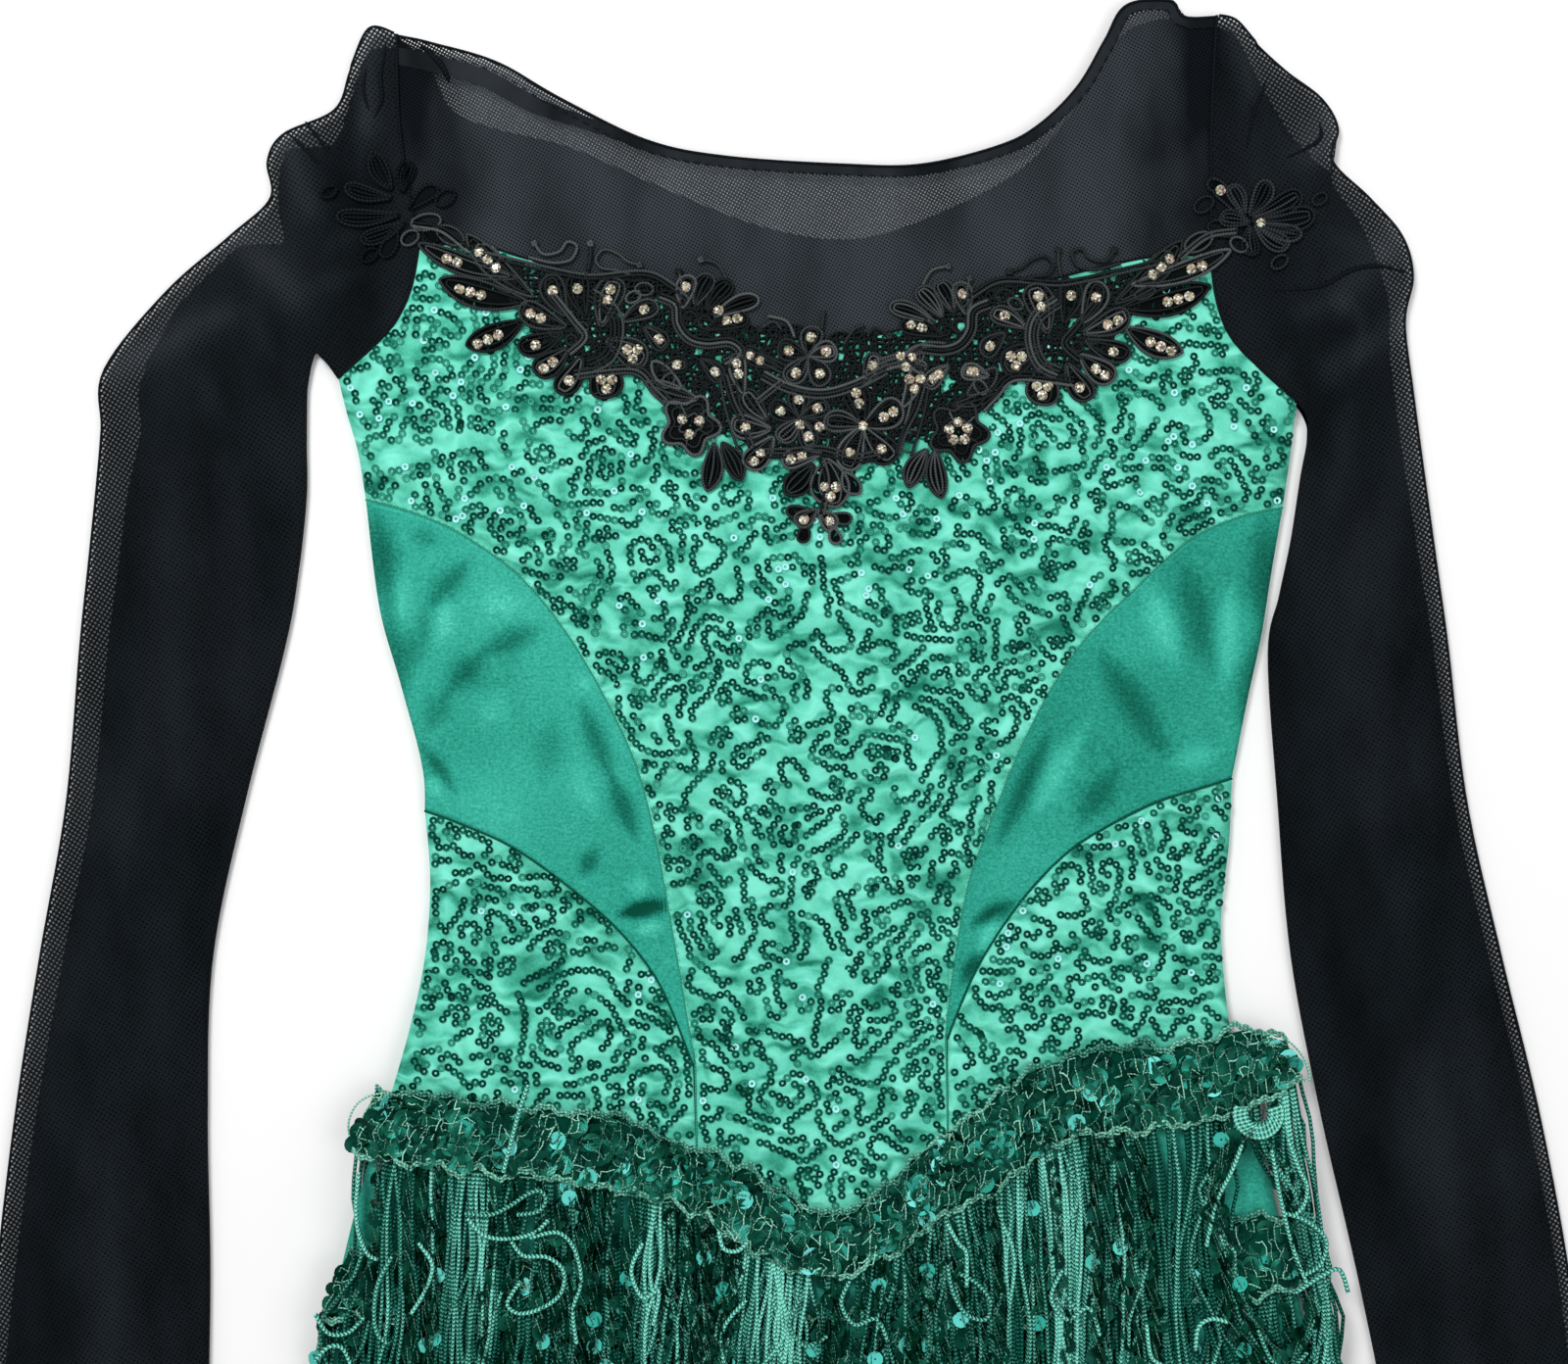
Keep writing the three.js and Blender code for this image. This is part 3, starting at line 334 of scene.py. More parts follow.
# ---------------------------------------------------------------- meshes
def make_mesh(name, verts, faces, material, smooth_shade=True, attrs=None):
    """faces is a list of (k, n) index arrays; attrs maps a name to one number a vertex."""
    me = bpy.data.meshes.new(name)
    v = np.asarray(verts, np.float32).reshape(-1, 3) * MM
    me.vertices.add(len(v))
    me.vertices.foreach_set("co", v.ravel())
    faces = [np.asarray(f, np.int32) for f in faces if len(f)]
    loops = np.concatenate([f.ravel() for f in faces])
    sizes = np.concatenate([np.full(len(f), f.shape[1], np.int32) for f in faces])
    me.loops.add(len(loops))
    me.loops.foreach_set("vertex_index", loops)
    me.polygons.add(len(sizes))
    me.polygons.foreach_set("loop_start", np.r_[0, np.cumsum(sizes)[:-1]].astype(np.int32))
    me.polygons.foreach_set("use_smooth", np.full(len(sizes), smooth_shade))
    me.update(calc_edges=True)
    for key, values in (attrs or {}).items():
        me.attributes.new(key, "FLOAT", "POINT").data.foreach_set("value", np.asarray(values, np.float32))
    me.materials.append(material)
    ob = bpy.data.objects.new(name, me)
    bpy.context.scene.collection.objects.link(ob)
    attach(ob, "root")
    return ob


def grid_faces(m, n, base=0, flip=False, wrap=False):
    cols = n + 1
    j, i = np.meshgrid(np.arange(m), np.arange(cols if wrap else n), indexing="ij")
    k = (i + 1) % cols
    q = np.stack([j * cols + i, j * cols + k, (j + 1) * cols + k, (j + 1) * cols + i], -1).reshape(-1,
            4) + base
    return q[:, ::-1] if flip else q


def wall(grid, under, over):
    """Closed wall: plan grid (m+1, n+1, 2), heights of both faces."""
    m, n = grid.shape[0] - 1, grid.shape[1] - 1
    count = (m + 1) * (n + 1)
    low = np.dstack([grid, under]).reshape(-1, 3)
    high = np.dstack([grid, over]).reshape(-1, 3)
    idx = [(0, i) for i in range(n)] + [(j, n) for j in range(m)] + [(m, i) for i in range(n, 0, -1)]
    idx += [(j, 0) for j in range(m, 0, -1)]
    r = np.array([j * (n + 1) + i for j, i in idx])
    s = np.roll(r, -1)
    rim = np.stack([r, s, s + count, r + count], -1)
    return np.vstack([low, high]), [grid_faces(m, n, 0, flip=True), grid_faces(m, n, count), rim]


def plan_area(grid):
    a = grid[:-1, :-1]
    b, c, d = grid[:-1, 1:], grid[1:, 1:], grid[1:, :-1]
    cross = lambda p, q: p[..., 0] * q[..., 1] - p[..., 1] * q[..., 0]
    return abs((cross(b - a, c - a) + cross(c - a, d - a)).sum() / 2)


def declare_sheet(ob, grid, times=1.0, strip=False, **kw):
    """Marks the object as cloth; its plan's area, times the count given, is worked out but not kept."""
    area = plan_area(grid) * 1e-6 * times
    if strip:
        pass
    else:
        kw["area"] = float(area)
    ob["is_cloth"] = True


def tubes(paths, radius, sides=5, caps=True):
    """Round bars along paths (k, p, 3).

    Gives vertices, faces, distance along, place around and bar number.
    """
    P = np.asarray(paths, float)
    if P.ndim == 2:
        P = P[None]
    k, p, _ = P.shape
    t = np.gradient(P, axis=1)
    t /= np.maximum(np.linalg.norm(t, axis=2), 1e-9)[..., None]
    up = np.zeros_like(t)
    up[..., 2] = 1.0
    side = np.cross(t, up)
    weak = np.linalg.norm(side, axis=2) < 0.15
    side[weak] = np.cross(t[weak], np.array([0.0, 1.0, 0.0]))
    side /= np.maximum(np.linalg.norm(side, axis=2), 1e-9)[..., None]
    nrm = np.cross(side, t)
    a = np.arange(sides) * 2 * np.pi / sides
    r = np.broadcast_to(np.asarray(radius, float), (k, p))
    ring = (side[:, :, None] * np.cos(a)[None, None, :, None]
            + nrm[:, :, None] * np.sin(a)[None, None, :, None])
    v = P[:, :, None] + ring * r[:, :, None, None]
    i = np.arange(k)[:, None, None] * p * sides
    j = np.arange(p - 1)[None, :, None] * sides
    c = np.arange(sides)[None, None, :]
    d = (c + 1) % sides
    q = np.stack([i + j + c, i + j + d, i + j + sides + d, i + j + sides + c], -1).reshape(-1, 4)
    faces = [q]
    if caps:
        first = (np.arange(k)[:, None] * p * sides + np.arange(sides)[None, ::-1])
        last = (np.arange(k)[:, None] * p * sides + (p - 1) * sides + np.arange(sides)[None])
        faces += [first, last]
    seg = np.linalg.norm(np.diff(P, axis=1), axis=2)
    along = np.concatenate([np.zeros((k, 1)), np.cumsum(seg, axis=1)], axis=1)
    along = np.repeat(along[:, :, None], sides, 2).ravel()
    around = np.tile(np.arange(sides) / sides, k * p)
    number = np.repeat(np.arange(k), p * sides)
    return v.reshape(-1, 3), faces, along, around, number


def merge(parts):
    """Joins (verts, faces, attrs) triples into one."""
    vs, fs, at, base = [], [], {}, 0
    for v, f, a in parts:
        vs.append(v)
        fs += [np.asarray(q) + base for q in f]
        for key, val in a.items():
            at.setdefault(key, []).append(np.broadcast_to(val, len(v)))
        base += len(v)
    return np.vstack(vs), fs, {k: np.concatenate(x) for k, x in at.items()}


def bar(path, radius, sides, tone, caps=True):
    """Round bars with what their cord's material reads."""
    v, f, along, around, _ = tubes(path, radius, sides, caps)
    return v, f, {"along": along, "around": around, "tone": tone}


def parts_mesh(name, parts, material):
    v, f, attrs = merge(parts)
    return make_mesh(name, v, f, material, attrs=attrs)


def rings(centres, normals, radii, heights, segments=10):
    """Flat or cupped rings or discs, one for each centre. radii and heights give the profile."""
    C, N = np.asarray(centres, float), np.asarray(normals, float)
    N = N / np.linalg.norm(N, axis=1)[:, None]
    k = len(C)
    ref = np.tile([1.0, 0.0, 0.0], (k, 1))
    u = np.cross(N, ref)
    u /= np.linalg.norm(u, axis=1)[:, None]
    w = np.cross(N, u)
    R, H = np.asarray(radii, float), np.asarray(heights, float)
    R = R[None] if R.ndim == 1 else R
    a = np.arange(segments) * 2 * np.pi / segments
    circle = u[:, None] * np.cos(a)[None, :, None] + w[:, None] * np.sin(a)[None, :, None]
    v = C[:, None, None] + circle[:, None] * np.broadcast_to(R, (k, len(H)))[:, :, None, None]
    v = v + N[:, None, None] * H[None, :, None, None]
    b = len(H)
    i = np.arange(k)[:, None, None] * b * segments
    j = np.arange(b - 1)[None, :, None] * segments
    c = np.arange(segments)[None, None]
    d = (c + 1) % segments
    q = np.stack([i + j + c, i + j + segments + c, i + j + segments + d, i + j + d], -1).reshape(-1, 4)
    return v.reshape(-1, 3), [q], b * segments


# ---------------------------------------------------------------- materials
def new_material(name, **sockets):
    m = bpy.data.materials.new(name)
    m.use_nodes = True
    b = m.node_tree.nodes["Principled BSDF"]
    for key, value in sockets.items():
        b.inputs[key.replace("_", " ")].default_value = value
    return m


def node(m, kind, inputs=None, **props):
    n = m.node_tree.nodes.new(kind)
    for key, value in props.items():
        setattr(n, key, value)
    for key, value in (inputs or {}).items():
        if isinstance(value, bpy.types.NodeSocket):
            m.node_tree.links.new(value, n.inputs[key])
        else:
            n.inputs[key].default_value = value
    return n


def bsdf(m):
    return m.node_tree.nodes["Principled BSDF"]


def plug(m, out, key):
    m.node_tree.links.new(out, bsdf(m).inputs[key])


def coords(m, scale=(1000, 1000, 1000), rotate=(0, 0, 0)):
    tc = node(m, "ShaderNodeTexCoord")
    return node(m, "ShaderNodeMapping",
                {0: tc.outputs["Object"], "Scale": scale, "Rotation": rotate}).outputs[0]


def ramp(m, fac, stops):
    r = node(m, "ShaderNodeValToRGB", {0: fac})
    els = r.color_ramp.elements
    while len(els) < len(stops):
        els.new(0.5)
    for e, (pos, col) in zip(els, stops):
        e.position = pos
        e.color = (*col, 1)
    return r.outputs[0]


def math_node(m, op, a, b=0.0, c=None):
    ins = {0: a, 1: b}
    if c is not None:
        ins[2] = c
    return node(m, "ShaderNodeMath", ins, operation=op).outputs[0]


def attr(m, name):
    return node(m, "ShaderNodeAttribute", attribute_name=name).outputs["Fac"]


def bump(m, height, distance, strength=1.0, normal=None):
    ins = {"Height": height, "Distance": distance, "Strength": strength}
    if normal is not None:
        ins["Normal"] = normal
    return node(m, "ShaderNodeBump", ins).outputs[0]


def noise(m, vector, scale, detail, out="Fac", **more):
    inputs = {"Vector": vector, "Scale": scale, "Detail": detail, **more}
    return node(m, "ShaderNodeTexNoise", inputs).outputs[out]


def srgb(r, g, b):
    f = lambda c: c / 12.92 if c <= 0.04045 else ((c + 0.055) / 1.055) ** 2.4
    return tuple(f(c / 255) for c in (r, g, b))


GREEN_GLOSS = (0.12, 0.95, 0.78, 1.0)


def jersey_material():
    m = new_material("sequined_jersey", Roughness=0.5, Specular_IOR_Level=0.25, Specular_Tint=GREEN_GLOSS)
    p = coords(m)
    big = noise(m, p, 0.03, 2.0)
    warp = noise(m, p, 0.09, 1.0, "Color")
    q = node(m, "ShaderNodeVectorMath", {0: warp, 1: (14, 14, 0)}, operation="MULTIPLY").outputs[0]
    q = node(m, "ShaderNodeVectorMath", {0: p, 1: q}, operation="ADD").outputs[0]
    q = node(m, "ShaderNodeMapping", {0: q, "Rotation": (0, 0, 0.7), "Scale": (0.55, 1.2, 1)}).outputs[0]
    fine = noise(m, q, 0.15, 1.0, Roughness=0.45)
    grain = noise(m, p, 1.1, 1.0)
    # Painted shade and highlight: the noise that bumps the puckers (fine) also sets most of the colour,
    # darker in their valleys and lighter on their crests; big and grain add tone at random.
    tone = math_node(m, "MULTIPLY_ADD", big, 0.22, math_node(m, "MULTIPLY", fine, 0.73))
    tone = math_node(m, "MULTIPLY_ADD", grain, 0.1, tone)
    col = ramp(m, tone, [(0.33, srgb(26, 110, 88)), (0.42, srgb(62, 160, 134)), (0.51, srgb(92, 196, 170)),
                         (0.66, srgb(122, 224, 200))])
    plug(m, col, "Base Color")
    knit = noise(m, p, 2.2, 1.0)
    plug(m, bump(m, fine, 0.0026, 0.9, bump(m, knit, 0.00006, 0.6)), "Normal")
    return m


def satin_material():
    m = new_material("satin", Roughness=0.38, Specular_IOR_Level=0.35, Specular_Tint=GREEN_GLOSS,
                     Anisotropic=0.5)
    p = coords(m)
    big = noise(m, p, 0.02, 2.0)
    thread = noise(m, coords(m, (420, 1100, 1000), (0, 0, 0.25)), 1.0, 2.0)
    grain = noise(m, p, 1.0, 2.0)
    tone = math_node(m, "MULTIPLY_ADD", big, 0.25, math_node(m, "MULTIPLY", thread, 0.2))
    tone = math_node(m, "MULTIPLY_ADD", grain, 0.35, tone)
    # Painted shade and highlight: the attribute from the fold table darkens the satin in fold troughs and
    # lightens it on the crests.
    tone = math_node(m, "MULTIPLY_ADD", attr(m, "painted_shading"), 0.3, tone)
    col = ramp(m, tone, [(0.04, srgb(2, 62, 46)), (0.22, srgb(20, 108, 90)), (0.38, srgb(44, 150, 130)),
                         (0.52, srgb(66, 178, 156)), (0.68, srgb(104, 214, 190))])
    plug(m, col, "Base Color")
    plug(m, bump(m, thread, 0.0001, 0.5, bump(m, grain, 0.0002, 0.3)), "Normal")
    return m


def net_material(name, turn, low, high, holes, span=(0.35, 0.65), pitch=1.15, hole_shade=0.0, sheen=None,
                 cloud=1.0):
    """Net: where the weave's wave is above holes there is a hole, drawn partly covered by the amount given:
    painted shade on what shows through.

    sheen colours the folds' crests.
    """
    m = new_material(name, Roughness=0.8, Specular_IOR_Level=0.05)
    p = coords(m, (1000, 1000, 0), (0, 0, turn))
    xyz = node(m, "ShaderNodeSeparateXYZ", {0: p})
    wave = math_node(m, "ADD",
                     math_node(m, "COSINE", math_node(m, "MULTIPLY", xyz.outputs[0], 2 * math.pi / pitch)),
                     math_node(m, "COSINE", math_node(m, "MULTIPLY", xyz.outputs[1], 2 * math.pi / pitch)))
    plug(m, math_node(m, "MULTIPLY_ADD", math_node(m, "LESS_THAN", wave, holes), 1 - hole_shade, hole_shade), "Alpha")
    # Painted sheen: soft lighter and darker patches, as strong as cloud says; the shading attribute then
    # lightens fold crests towards the sheen colour and darkens the yoke towards the armholes, painted
    # highlight and shade.
    patchy = noise(m, coords(m, (1300, 600, 1000), (0, 0, 0.6)), 0.03, 3.0)
    soft = math_node(m, "MULTIPLY_ADD", patchy, cloud, 0.5 * (1 - cloud))
    tone = math_node(m, "MULTIPLY_ADD", attr(m, "painted_shading"), 0.1, soft)
    stops = [(span[0], low), (span[1], high)] + ([(0.92, sheen)] if sheen else [])
    plug(m, ramp(m, tone, stops), "Base Color")
    return m


def plain_material(name, color, rough, **kw):
    m = new_material(name, Base_Color=(*color, 1), Roughness=rough, **kw)
    return m


def sequin_material():
    m = new_material("sequin", Roughness=0.3, Specular_IOR_Level=0.3, Specular_Tint=GREEN_GLOSS)
    tone = attr(m, "tone")
    col = ramp(m, tone, [(0.0, srgb(0, 28, 18)), (0.3, srgb(0, 48, 33)), (0.55, srgb(8, 78, 58)),
                         (0.72, srgb(34, 120, 98)), (0.88, srgb(84, 180, 156)), (0.94, srgb(92, 190, 188)),
                         (1.0, srgb(190, 244, 242))])
    plug(m, col, "Base Color")
    return m


def cord_material(name, low, high, pitch, rough=0.6, twist=2.0, depth=0.0002, gloss=GREEN_GLOSS,
                  chevron=False, middle=None,
                  weave=0.38):
    """Twisted or knitted cord: stripes run round it, or meet in chevrons along its top."""
    m = new_material(name, Roughness=rough, Specular_IOR_Level=0.25, Specular_Tint=gloss)
    along, around, shade = attr(m, "along"), attr(m, "around"), attr(m, "tone")
    if chevron:
        around = math_node(m, "ABSOLUTE", math_node(m, "SUBTRACT", around, 0.25))
    # The stripes' light and dark are painted highlight on the crests of the twist or knit and painted shade
    # between them; the same wave also bumps the normal.
    phase = math_node(m, "MULTIPLY_ADD", around, 2 * math.pi * twist,
                      math_node(m, "MULTIPLY", along, 2 * math.pi / pitch))
    wave = math_node(m, "MULTIPLY_ADD", math_node(m, "SINE", phase), 0.5, 0.5)
    # Painted shade: the colour darkens away from the cord's top, down its sides.
    from_top = math_node(m, "ABSOLUTE", math_node(m, "SUBTRACT", attr(m, "around"), 0.25))
    both = math_node(m, "MULTIPLY_ADD", wave, weave, math_node(m, "MULTIPLY", shade, 1 - weave))
    both = math_node(m, "SUBTRACT", both, math_node(m, "MULTIPLY", from_top, 0.7))
    middle = middle or tuple(((a**0.45 + b**0.45) / 2) ** (1 / 0.45) for a, b in zip(low, high))
    plug(m, ramp(m, both, [(0.0, low), (0.42, middle), (0.85, high)]), "Base Color")
    plug(m, bump(m, wave, depth, 0.9), "Normal")
    return m


jersey = jersey_material()
satin = satin_material()
net_over = net_material("net_over", 0.55, srgb(2, 5, 8), srgb(26, 31, 35), 0.7, pitch=1.5, hole_shade=0.45,
                        sheen=srgb(42, 46, 51),
                        cloud=0.5)
# The under layers: the same black net drawn solid and darker than the top layer, partly the second layer
# itself and partly painted shade.
net_under = net_material("net_under", -0.3, srgb(5, 8, 10), srgb(12, 15, 18), 2.1)
# The yoke's net drawn lighter than the sleeves' net: painted sheen.
net_yoke = net_material("net_yoke", 0.5, srgb(12, 16, 20), srgb(52, 58, 63), 0.95, (0.05, 0.6))
net_hem = net_material("net_hem", -0.3, srgb(14, 18, 21), srgb(40, 44, 48), 2.1)
sequin = sequin_material()

# ---------------------------------------------------------------- the body's panels
K = 4
HALF, PRINCESS, HEMSIDE, HEMMID, ARMLOW, ARMUP = 8 * K, 3 * K, 8 * K, 8 * K, 3 * K, 3 * K
arm = {s: (spline(ARMHOLE[s]["upper"], ARMUP), spline(ARMHOLE[s]["lower"], ARMLOW)) for s in SIDE}
upper = {s: spline(INSET[s]["upper"], HALF) for s in SIDE}
lower = {s: spline(INSET[s]["lower"], HALF) for s in SIDE}
hem = {s: spline(HEM[s], HEMSIDE) for s in SIDE}
hem["middle"] = spline(HEM["middle"], HEMMID)
hem_end = {"left": HEM["middle"][0], "right": HEM["middle"][-1]}
princess = {s: spline([INSET[s]["upper"][-1], hem_end[s]], PRINCESS) for s in SIDE}
hem_line = chain(hem["left"], hem["middle"], hem["right"])
centre_bottom = chain(upper["left"], princess["left"], hem["middle"], princess["right"][::-1],
                      upper["right"][::-1])
yoke_line = spaced_like(YOKE_SEAM, centre_bottom[ARMLOW:len(centre_bottom) - ARMLOW])
centre_top = chain(arm["left"][1][::-1], yoke_line, arm["right"][1])


def side(s, *names, n):
    return resample(chain(*[smooth(SIDE[s][k]) for k in names]), n)[::-1]


CENTRE = drawn_in(patch(centre_bottom, centre_top, side("left", "chest", n=60),
                        side("right", "chest", n=60)))
INSETS, HIPS = {}, {}
for s in SIDE:
    tip = spline([INSET[s]["lower"][-1], INSET[s]["upper"][-1]], 56)
    outer = side(s, "inset", n=56)
    above, below = spline(INSET[s]["upper"], 72), spline(INSET[s]["lower"], 72)
    inner = spline([hem_end[s], INSET[s]["lower"][-1]], 24)
    hip = side(s, "hip", n=24)
    if s == "left":
        INSETS[s] = drawn_in(patch(below, above, outer, tip))
        HIPS[s] = drawn_in(patch(hem[s], lower[s], hip, inner))
    else:
        INSETS[s] = drawn_in(patch(below[::-1], above[::-1], tip, outer))
        HIPS[s] = drawn_in(patch(hem[s], lower[s][::-1], inner, hip))
YOKE = drawn_in(patch(yoke_line, spaced_like(NECK_FRONT, yoke_line), arm["left"][0][::-1],
                      arm["right"][0][::-1]))
back_seam = spline(YOKE_SEAM, len(hem_line) - 1 - 2 * ARMLOW)
BACK_YOKE = drawn_in(patch(back_seam, spaced_like(NECK_BACK, back_seam), arm["left"][0][::-1],
                           arm["right"][0][::-1]))
BACK = drawn_in(patch(hem_line, chain(arm["left"][1][::-1], back_seam, arm["right"][1]),
                      side("left", "chest", "inset", "hip", n=50),
                      side("right", "chest", "inset", "hip", n=50)))
legs = (len(hem_line) - 1 - 6 * K) // 2
foot = chain(spline([SIDE["left"]["short"][-1], (-LEG_GAP, SHORT_FOOT)], legs),
             spline([(-LEG_GAP, SHORT_FOOT), (-CROTCH[0], CROTCH[1])], 2 * K),
             spline([(-CROTCH[0], CROTCH[1]), CROTCH], 2 * K),
             spline([CROTCH, (LEG_GAP, SHORT_FOOT)], 2 * K),
             spline([(LEG_GAP, SHORT_FOOT), SIDE["right"]["short"][-1]], legs))
SHORTS = drawn_in(patch(foot, hem_line, side("left", "short", n=40), side("right", "short", n=40)))


def edge_fade(grid, width):
    """1 inside a panel, 0 at its rim."""
    m, n = grid.shape[:2]
    d = np.full((m, n), 1e9)
    rim = np.vstack([grid[0], grid[-1], grid[:, 0], grid[:, -1]])
    flat = grid.reshape(-1, 2)
    for k in range(0, len(flat), 4000):
        part = flat[k:k + 4000]
        dist = np.sqrt(((part[:, None] - rim[None, ::2]) ** 2).sum(-1)).min(1)
        d.reshape(-1)[k:k + 4000] = dist
    return smoothstep(0, width, d)


def panel(name, grid, under, material, slot, relief=None, folds=None, **kw):
    x, y = grid[..., 0], grid[..., 1]
    z = under(x, y)
    r = relief(x, y) * edge_fade(grid, 6) if relief else 0
    v, f = wall(grid, z, z + WALL + r)
    # Colour only: painted shade in the fold troughs and painted highlight on the crests, and the right-hand
    # panel drawn a little darker overall.
    shade = np.zeros_like(x) if folds is None else fold_height(folds, x, y, 0.6) - 0.22 * (x > 0)
    ob = make_mesh(name, v, f, material, attrs={"painted_shading": np.r_[shade.ravel(), shade.ravel()]})
    declare_sheet(ob, grid, **kw)
    return ob


swell = lambda x, y: 0.9 * (pucker(x, y) - 0.5)
centre = panel("centre_panel", CENTRE, front_under, jersey, "jersey", swell)
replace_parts(centre, "front_centre")
for s in SIDE:
    rise = lambda x, y: 0.6 * fold_height(INSET_FOLDS[s], x, y, 0.6).clip(-1.2, 2)
    ob = panel("inset_panel_" + s, INSETS[s], front_under, satin, "satin", rise, INSET_FOLDS[s])
    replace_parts(ob, "inset_" + s)
    ob = panel("hip_panel_" + s, HIPS[s], front_under, jersey, "jersey", swell)
    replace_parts(ob, "hip_" + s)
back = panel("back_panel", BACK, back_under, jersey, "jersey")
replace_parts(back, "back_bodice")
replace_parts(panel("shorts_front", SHORTS, front_under, satin, "satin"), "front_shorts")
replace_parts(panel("shorts_back", SHORTS, back_under, satin, "satin"), "back_shorts")


def net_panel(name, grid, height, material, node_name, **kw):
    m, n = grid.shape[0] - 1, grid.shape[1] - 1
    z = height(grid[..., 0], grid[..., 1]) + WALL * 0.5
    v = np.dstack([grid, z]).reshape(-1, 3)
    # Painted shade: the colour darkens towards the armholes, where the yoke's painted sheen fades into the
    # sleeves' darker net.
    near_arm = np.minimum(v[:, 0] + 156, 150 - v[:, 0])
    ob = make_mesh(name, v, [grid_faces(m, n)], material,
                   attrs={"painted_shading": -4.5 * (1 - smoothstep(0, 42, near_arm))})
    declare_sheet(ob, grid, **kw)
    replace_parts(ob, node_name)
    return ob


wrinkle = lambda x, y: 0.5 * (noise2(x / 20, y / 14, 12) - 0.5)
neck = spline(NECK_FRONT, 160)
inward = np.gradient(neck, axis=0)
inward /= np.linalg.norm(inward, axis=1)[:, None]
inward = np.column_stack([inward[:, 1], -inward[:, 0]])
far_left = smoothstep(-70, -112, neck[:, 0])[:, None]
hem_inner, hem_outer = 4.4 + 6.5 * far_left, 0.4 + 4.2 * far_left
turned = np.stack([neck + inward * d for d in (hem_inner, (hem_inner + hem_outer) / 2, hem_outer)])
z = front_under(turned[..., 0], turned[..., 1]) + wrinkle(turned[..., 0], turned[..., 1]) + WALL * 0.5 + 0.35
hem_band = make_mesh("neck_hem", np.dstack([turned, z]).reshape(-1, 3), [grid_faces(2, 160)], net_hem)
net_panel("yoke_front", YOKE, lambda x, y: front_under(x, y) + wrinkle(x, y), net_yoke, "front_yoke",
          with_pieces=[hem_band])
net_panel("yoke_back", BACK_YOKE, back_under, net_under, "back_yoke")


# ---------------------------------------------------------------- sleeves
# row of SLEEVE, width of the single layer along the outer edge there
SINGLE_BAND = {
    "left": ([0, 1, 2, 3, 4, 5, 6, 7, 8, 9, 10, 11, 14, 17, 20],
             [4, 8, 14, 12, 5, 16, 17, 4, 6, 14, 14, 11, 9, 6, 4]),
    "right": ([0, 1, 2, 3, 4, 5, 6, 7, 8, 9, 10, 12, 15, 21],
              [3, 5, 14, 22, 24, 16, 5, 10, 17, 16, 9, 6, 4, 3])}
sleeve_edge = {}
for s in SIDE:
    st = np.array(SLEEVE[s], float)
    rows = 150
    k = np.linspace(0, len(st) - 1, rows + 1)
    fine = smooth(st, 20)
    ks = np.linspace(0, len(st) - 1, len(fine))
    ring = np.column_stack([np.interp(k, ks, fine[:, c]) for c in range(5)])
    line = chain(arm[s][0], arm[s][1])
    line = resample(line, 30)
    w = np.linspace(0, 1, len(line))[None, :, None]
    chord = line[0] * (1 - w[0]) + line[-1] * w[0]
    fade = (1 - smoothstep(0, 7, k))[:, None, None]
    out = -1 if s == "left" else 1
    plan = ring[:, None, 0:2] * (1 - w) + ring[:, None, 2:4] * w + fade * (line - chord)[None]
    plan = plan + np.array([out * SEAM, SEAM / 2])
    x, y = plan[..., 0], plan[..., 1]
    ww = w[..., 0]
    puff = ring[:, 4][:, None]
    roundness = np.sqrt(np.sin(np.pi * np.clip(ww, 0, 1)))
    early = (k < 2)[:, None]
    top = 2.0 + puff * np.where(early, 1, 0.35 + 0.65 * roundness)
    free = smoothstep(0, 0.12, ww) * smoothstep(1, 0.88, ww) * smoothstep(0, 1.5, k)[:, None]
    top = top + free * (fold_height(SLEEVE_FOLDS, x, y) + 0.5 * (noise2(x / 16, y / 30, 21) - 0.5))
    # The under layer stops short of the outer edge, where a single layer shows.
    m, n = plan.shape[0] - 1, plan.shape[1] - 1
    across = np.linalg.norm(plan[:, -1] - plan[:, 0], axis=1)[:, None, None]
    bare = np.interp(k, SINGLE_BAND[s][0], SINGLE_BAND[s][1])[:, None, None] / across
    under_w = bare + (1 - bare) * w
    under_plan = ring[:, None, 0:2] * (1 - under_w) + ring[:, None, 2:4] * under_w + fade * (line
            - chord)[None]
    under_plan = under_plan + np.array([out * SEAM, SEAM / 2])
    under_plan[:, -1] = plan[:, -1]
    v = np.vstack([np.dstack([plan, top]).reshape(-1, 3),
                   np.dstack([under_plan, np.full_like(top, 0.3)]).reshape(-1, 3)])
    count, cols, j = (m + 1) * (n + 1), n + 1, np.arange(m)
    join = np.stack([j * cols + n, (j + 1) * cols + n, count + (j + 1) * cols + n, count + j * cols + n], -1)
    ob = make_mesh("sleeve_net_" + s, v, [grid_faces(m, n), grid_faces(m, n, count, flip=True), join],
                   net_over)
    ob.data.materials.append(net_under)
    ob.data.polygons.foreach_set("material_index",
                                 np.r_[np.zeros(m * n), np.ones(m * n + m)].astype(np.int32))
    # Painted highlight: fold heights and the crest table lighten the top layer's colour towards its sheen;
    # the under layer gets none.
    shade = (fold_height(SLEEVE_FOLDS, x, y) + fold_height(SLEEVE_CRESTS, x, y, 0.5)).ravel()
    layer = ob.data.attributes.new("painted_shading", "FLOAT", "POINT")
    layer.data.foreach_set("value", np.r_[shade, 0 * shade].astype(np.float32))
    declare_sheet(ob, plan, times=1.9)
    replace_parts(ob, "sleeve_" + s)
    sleeve_edge[s] = np.column_stack([plan[1:, 0], top[1:, 0]])


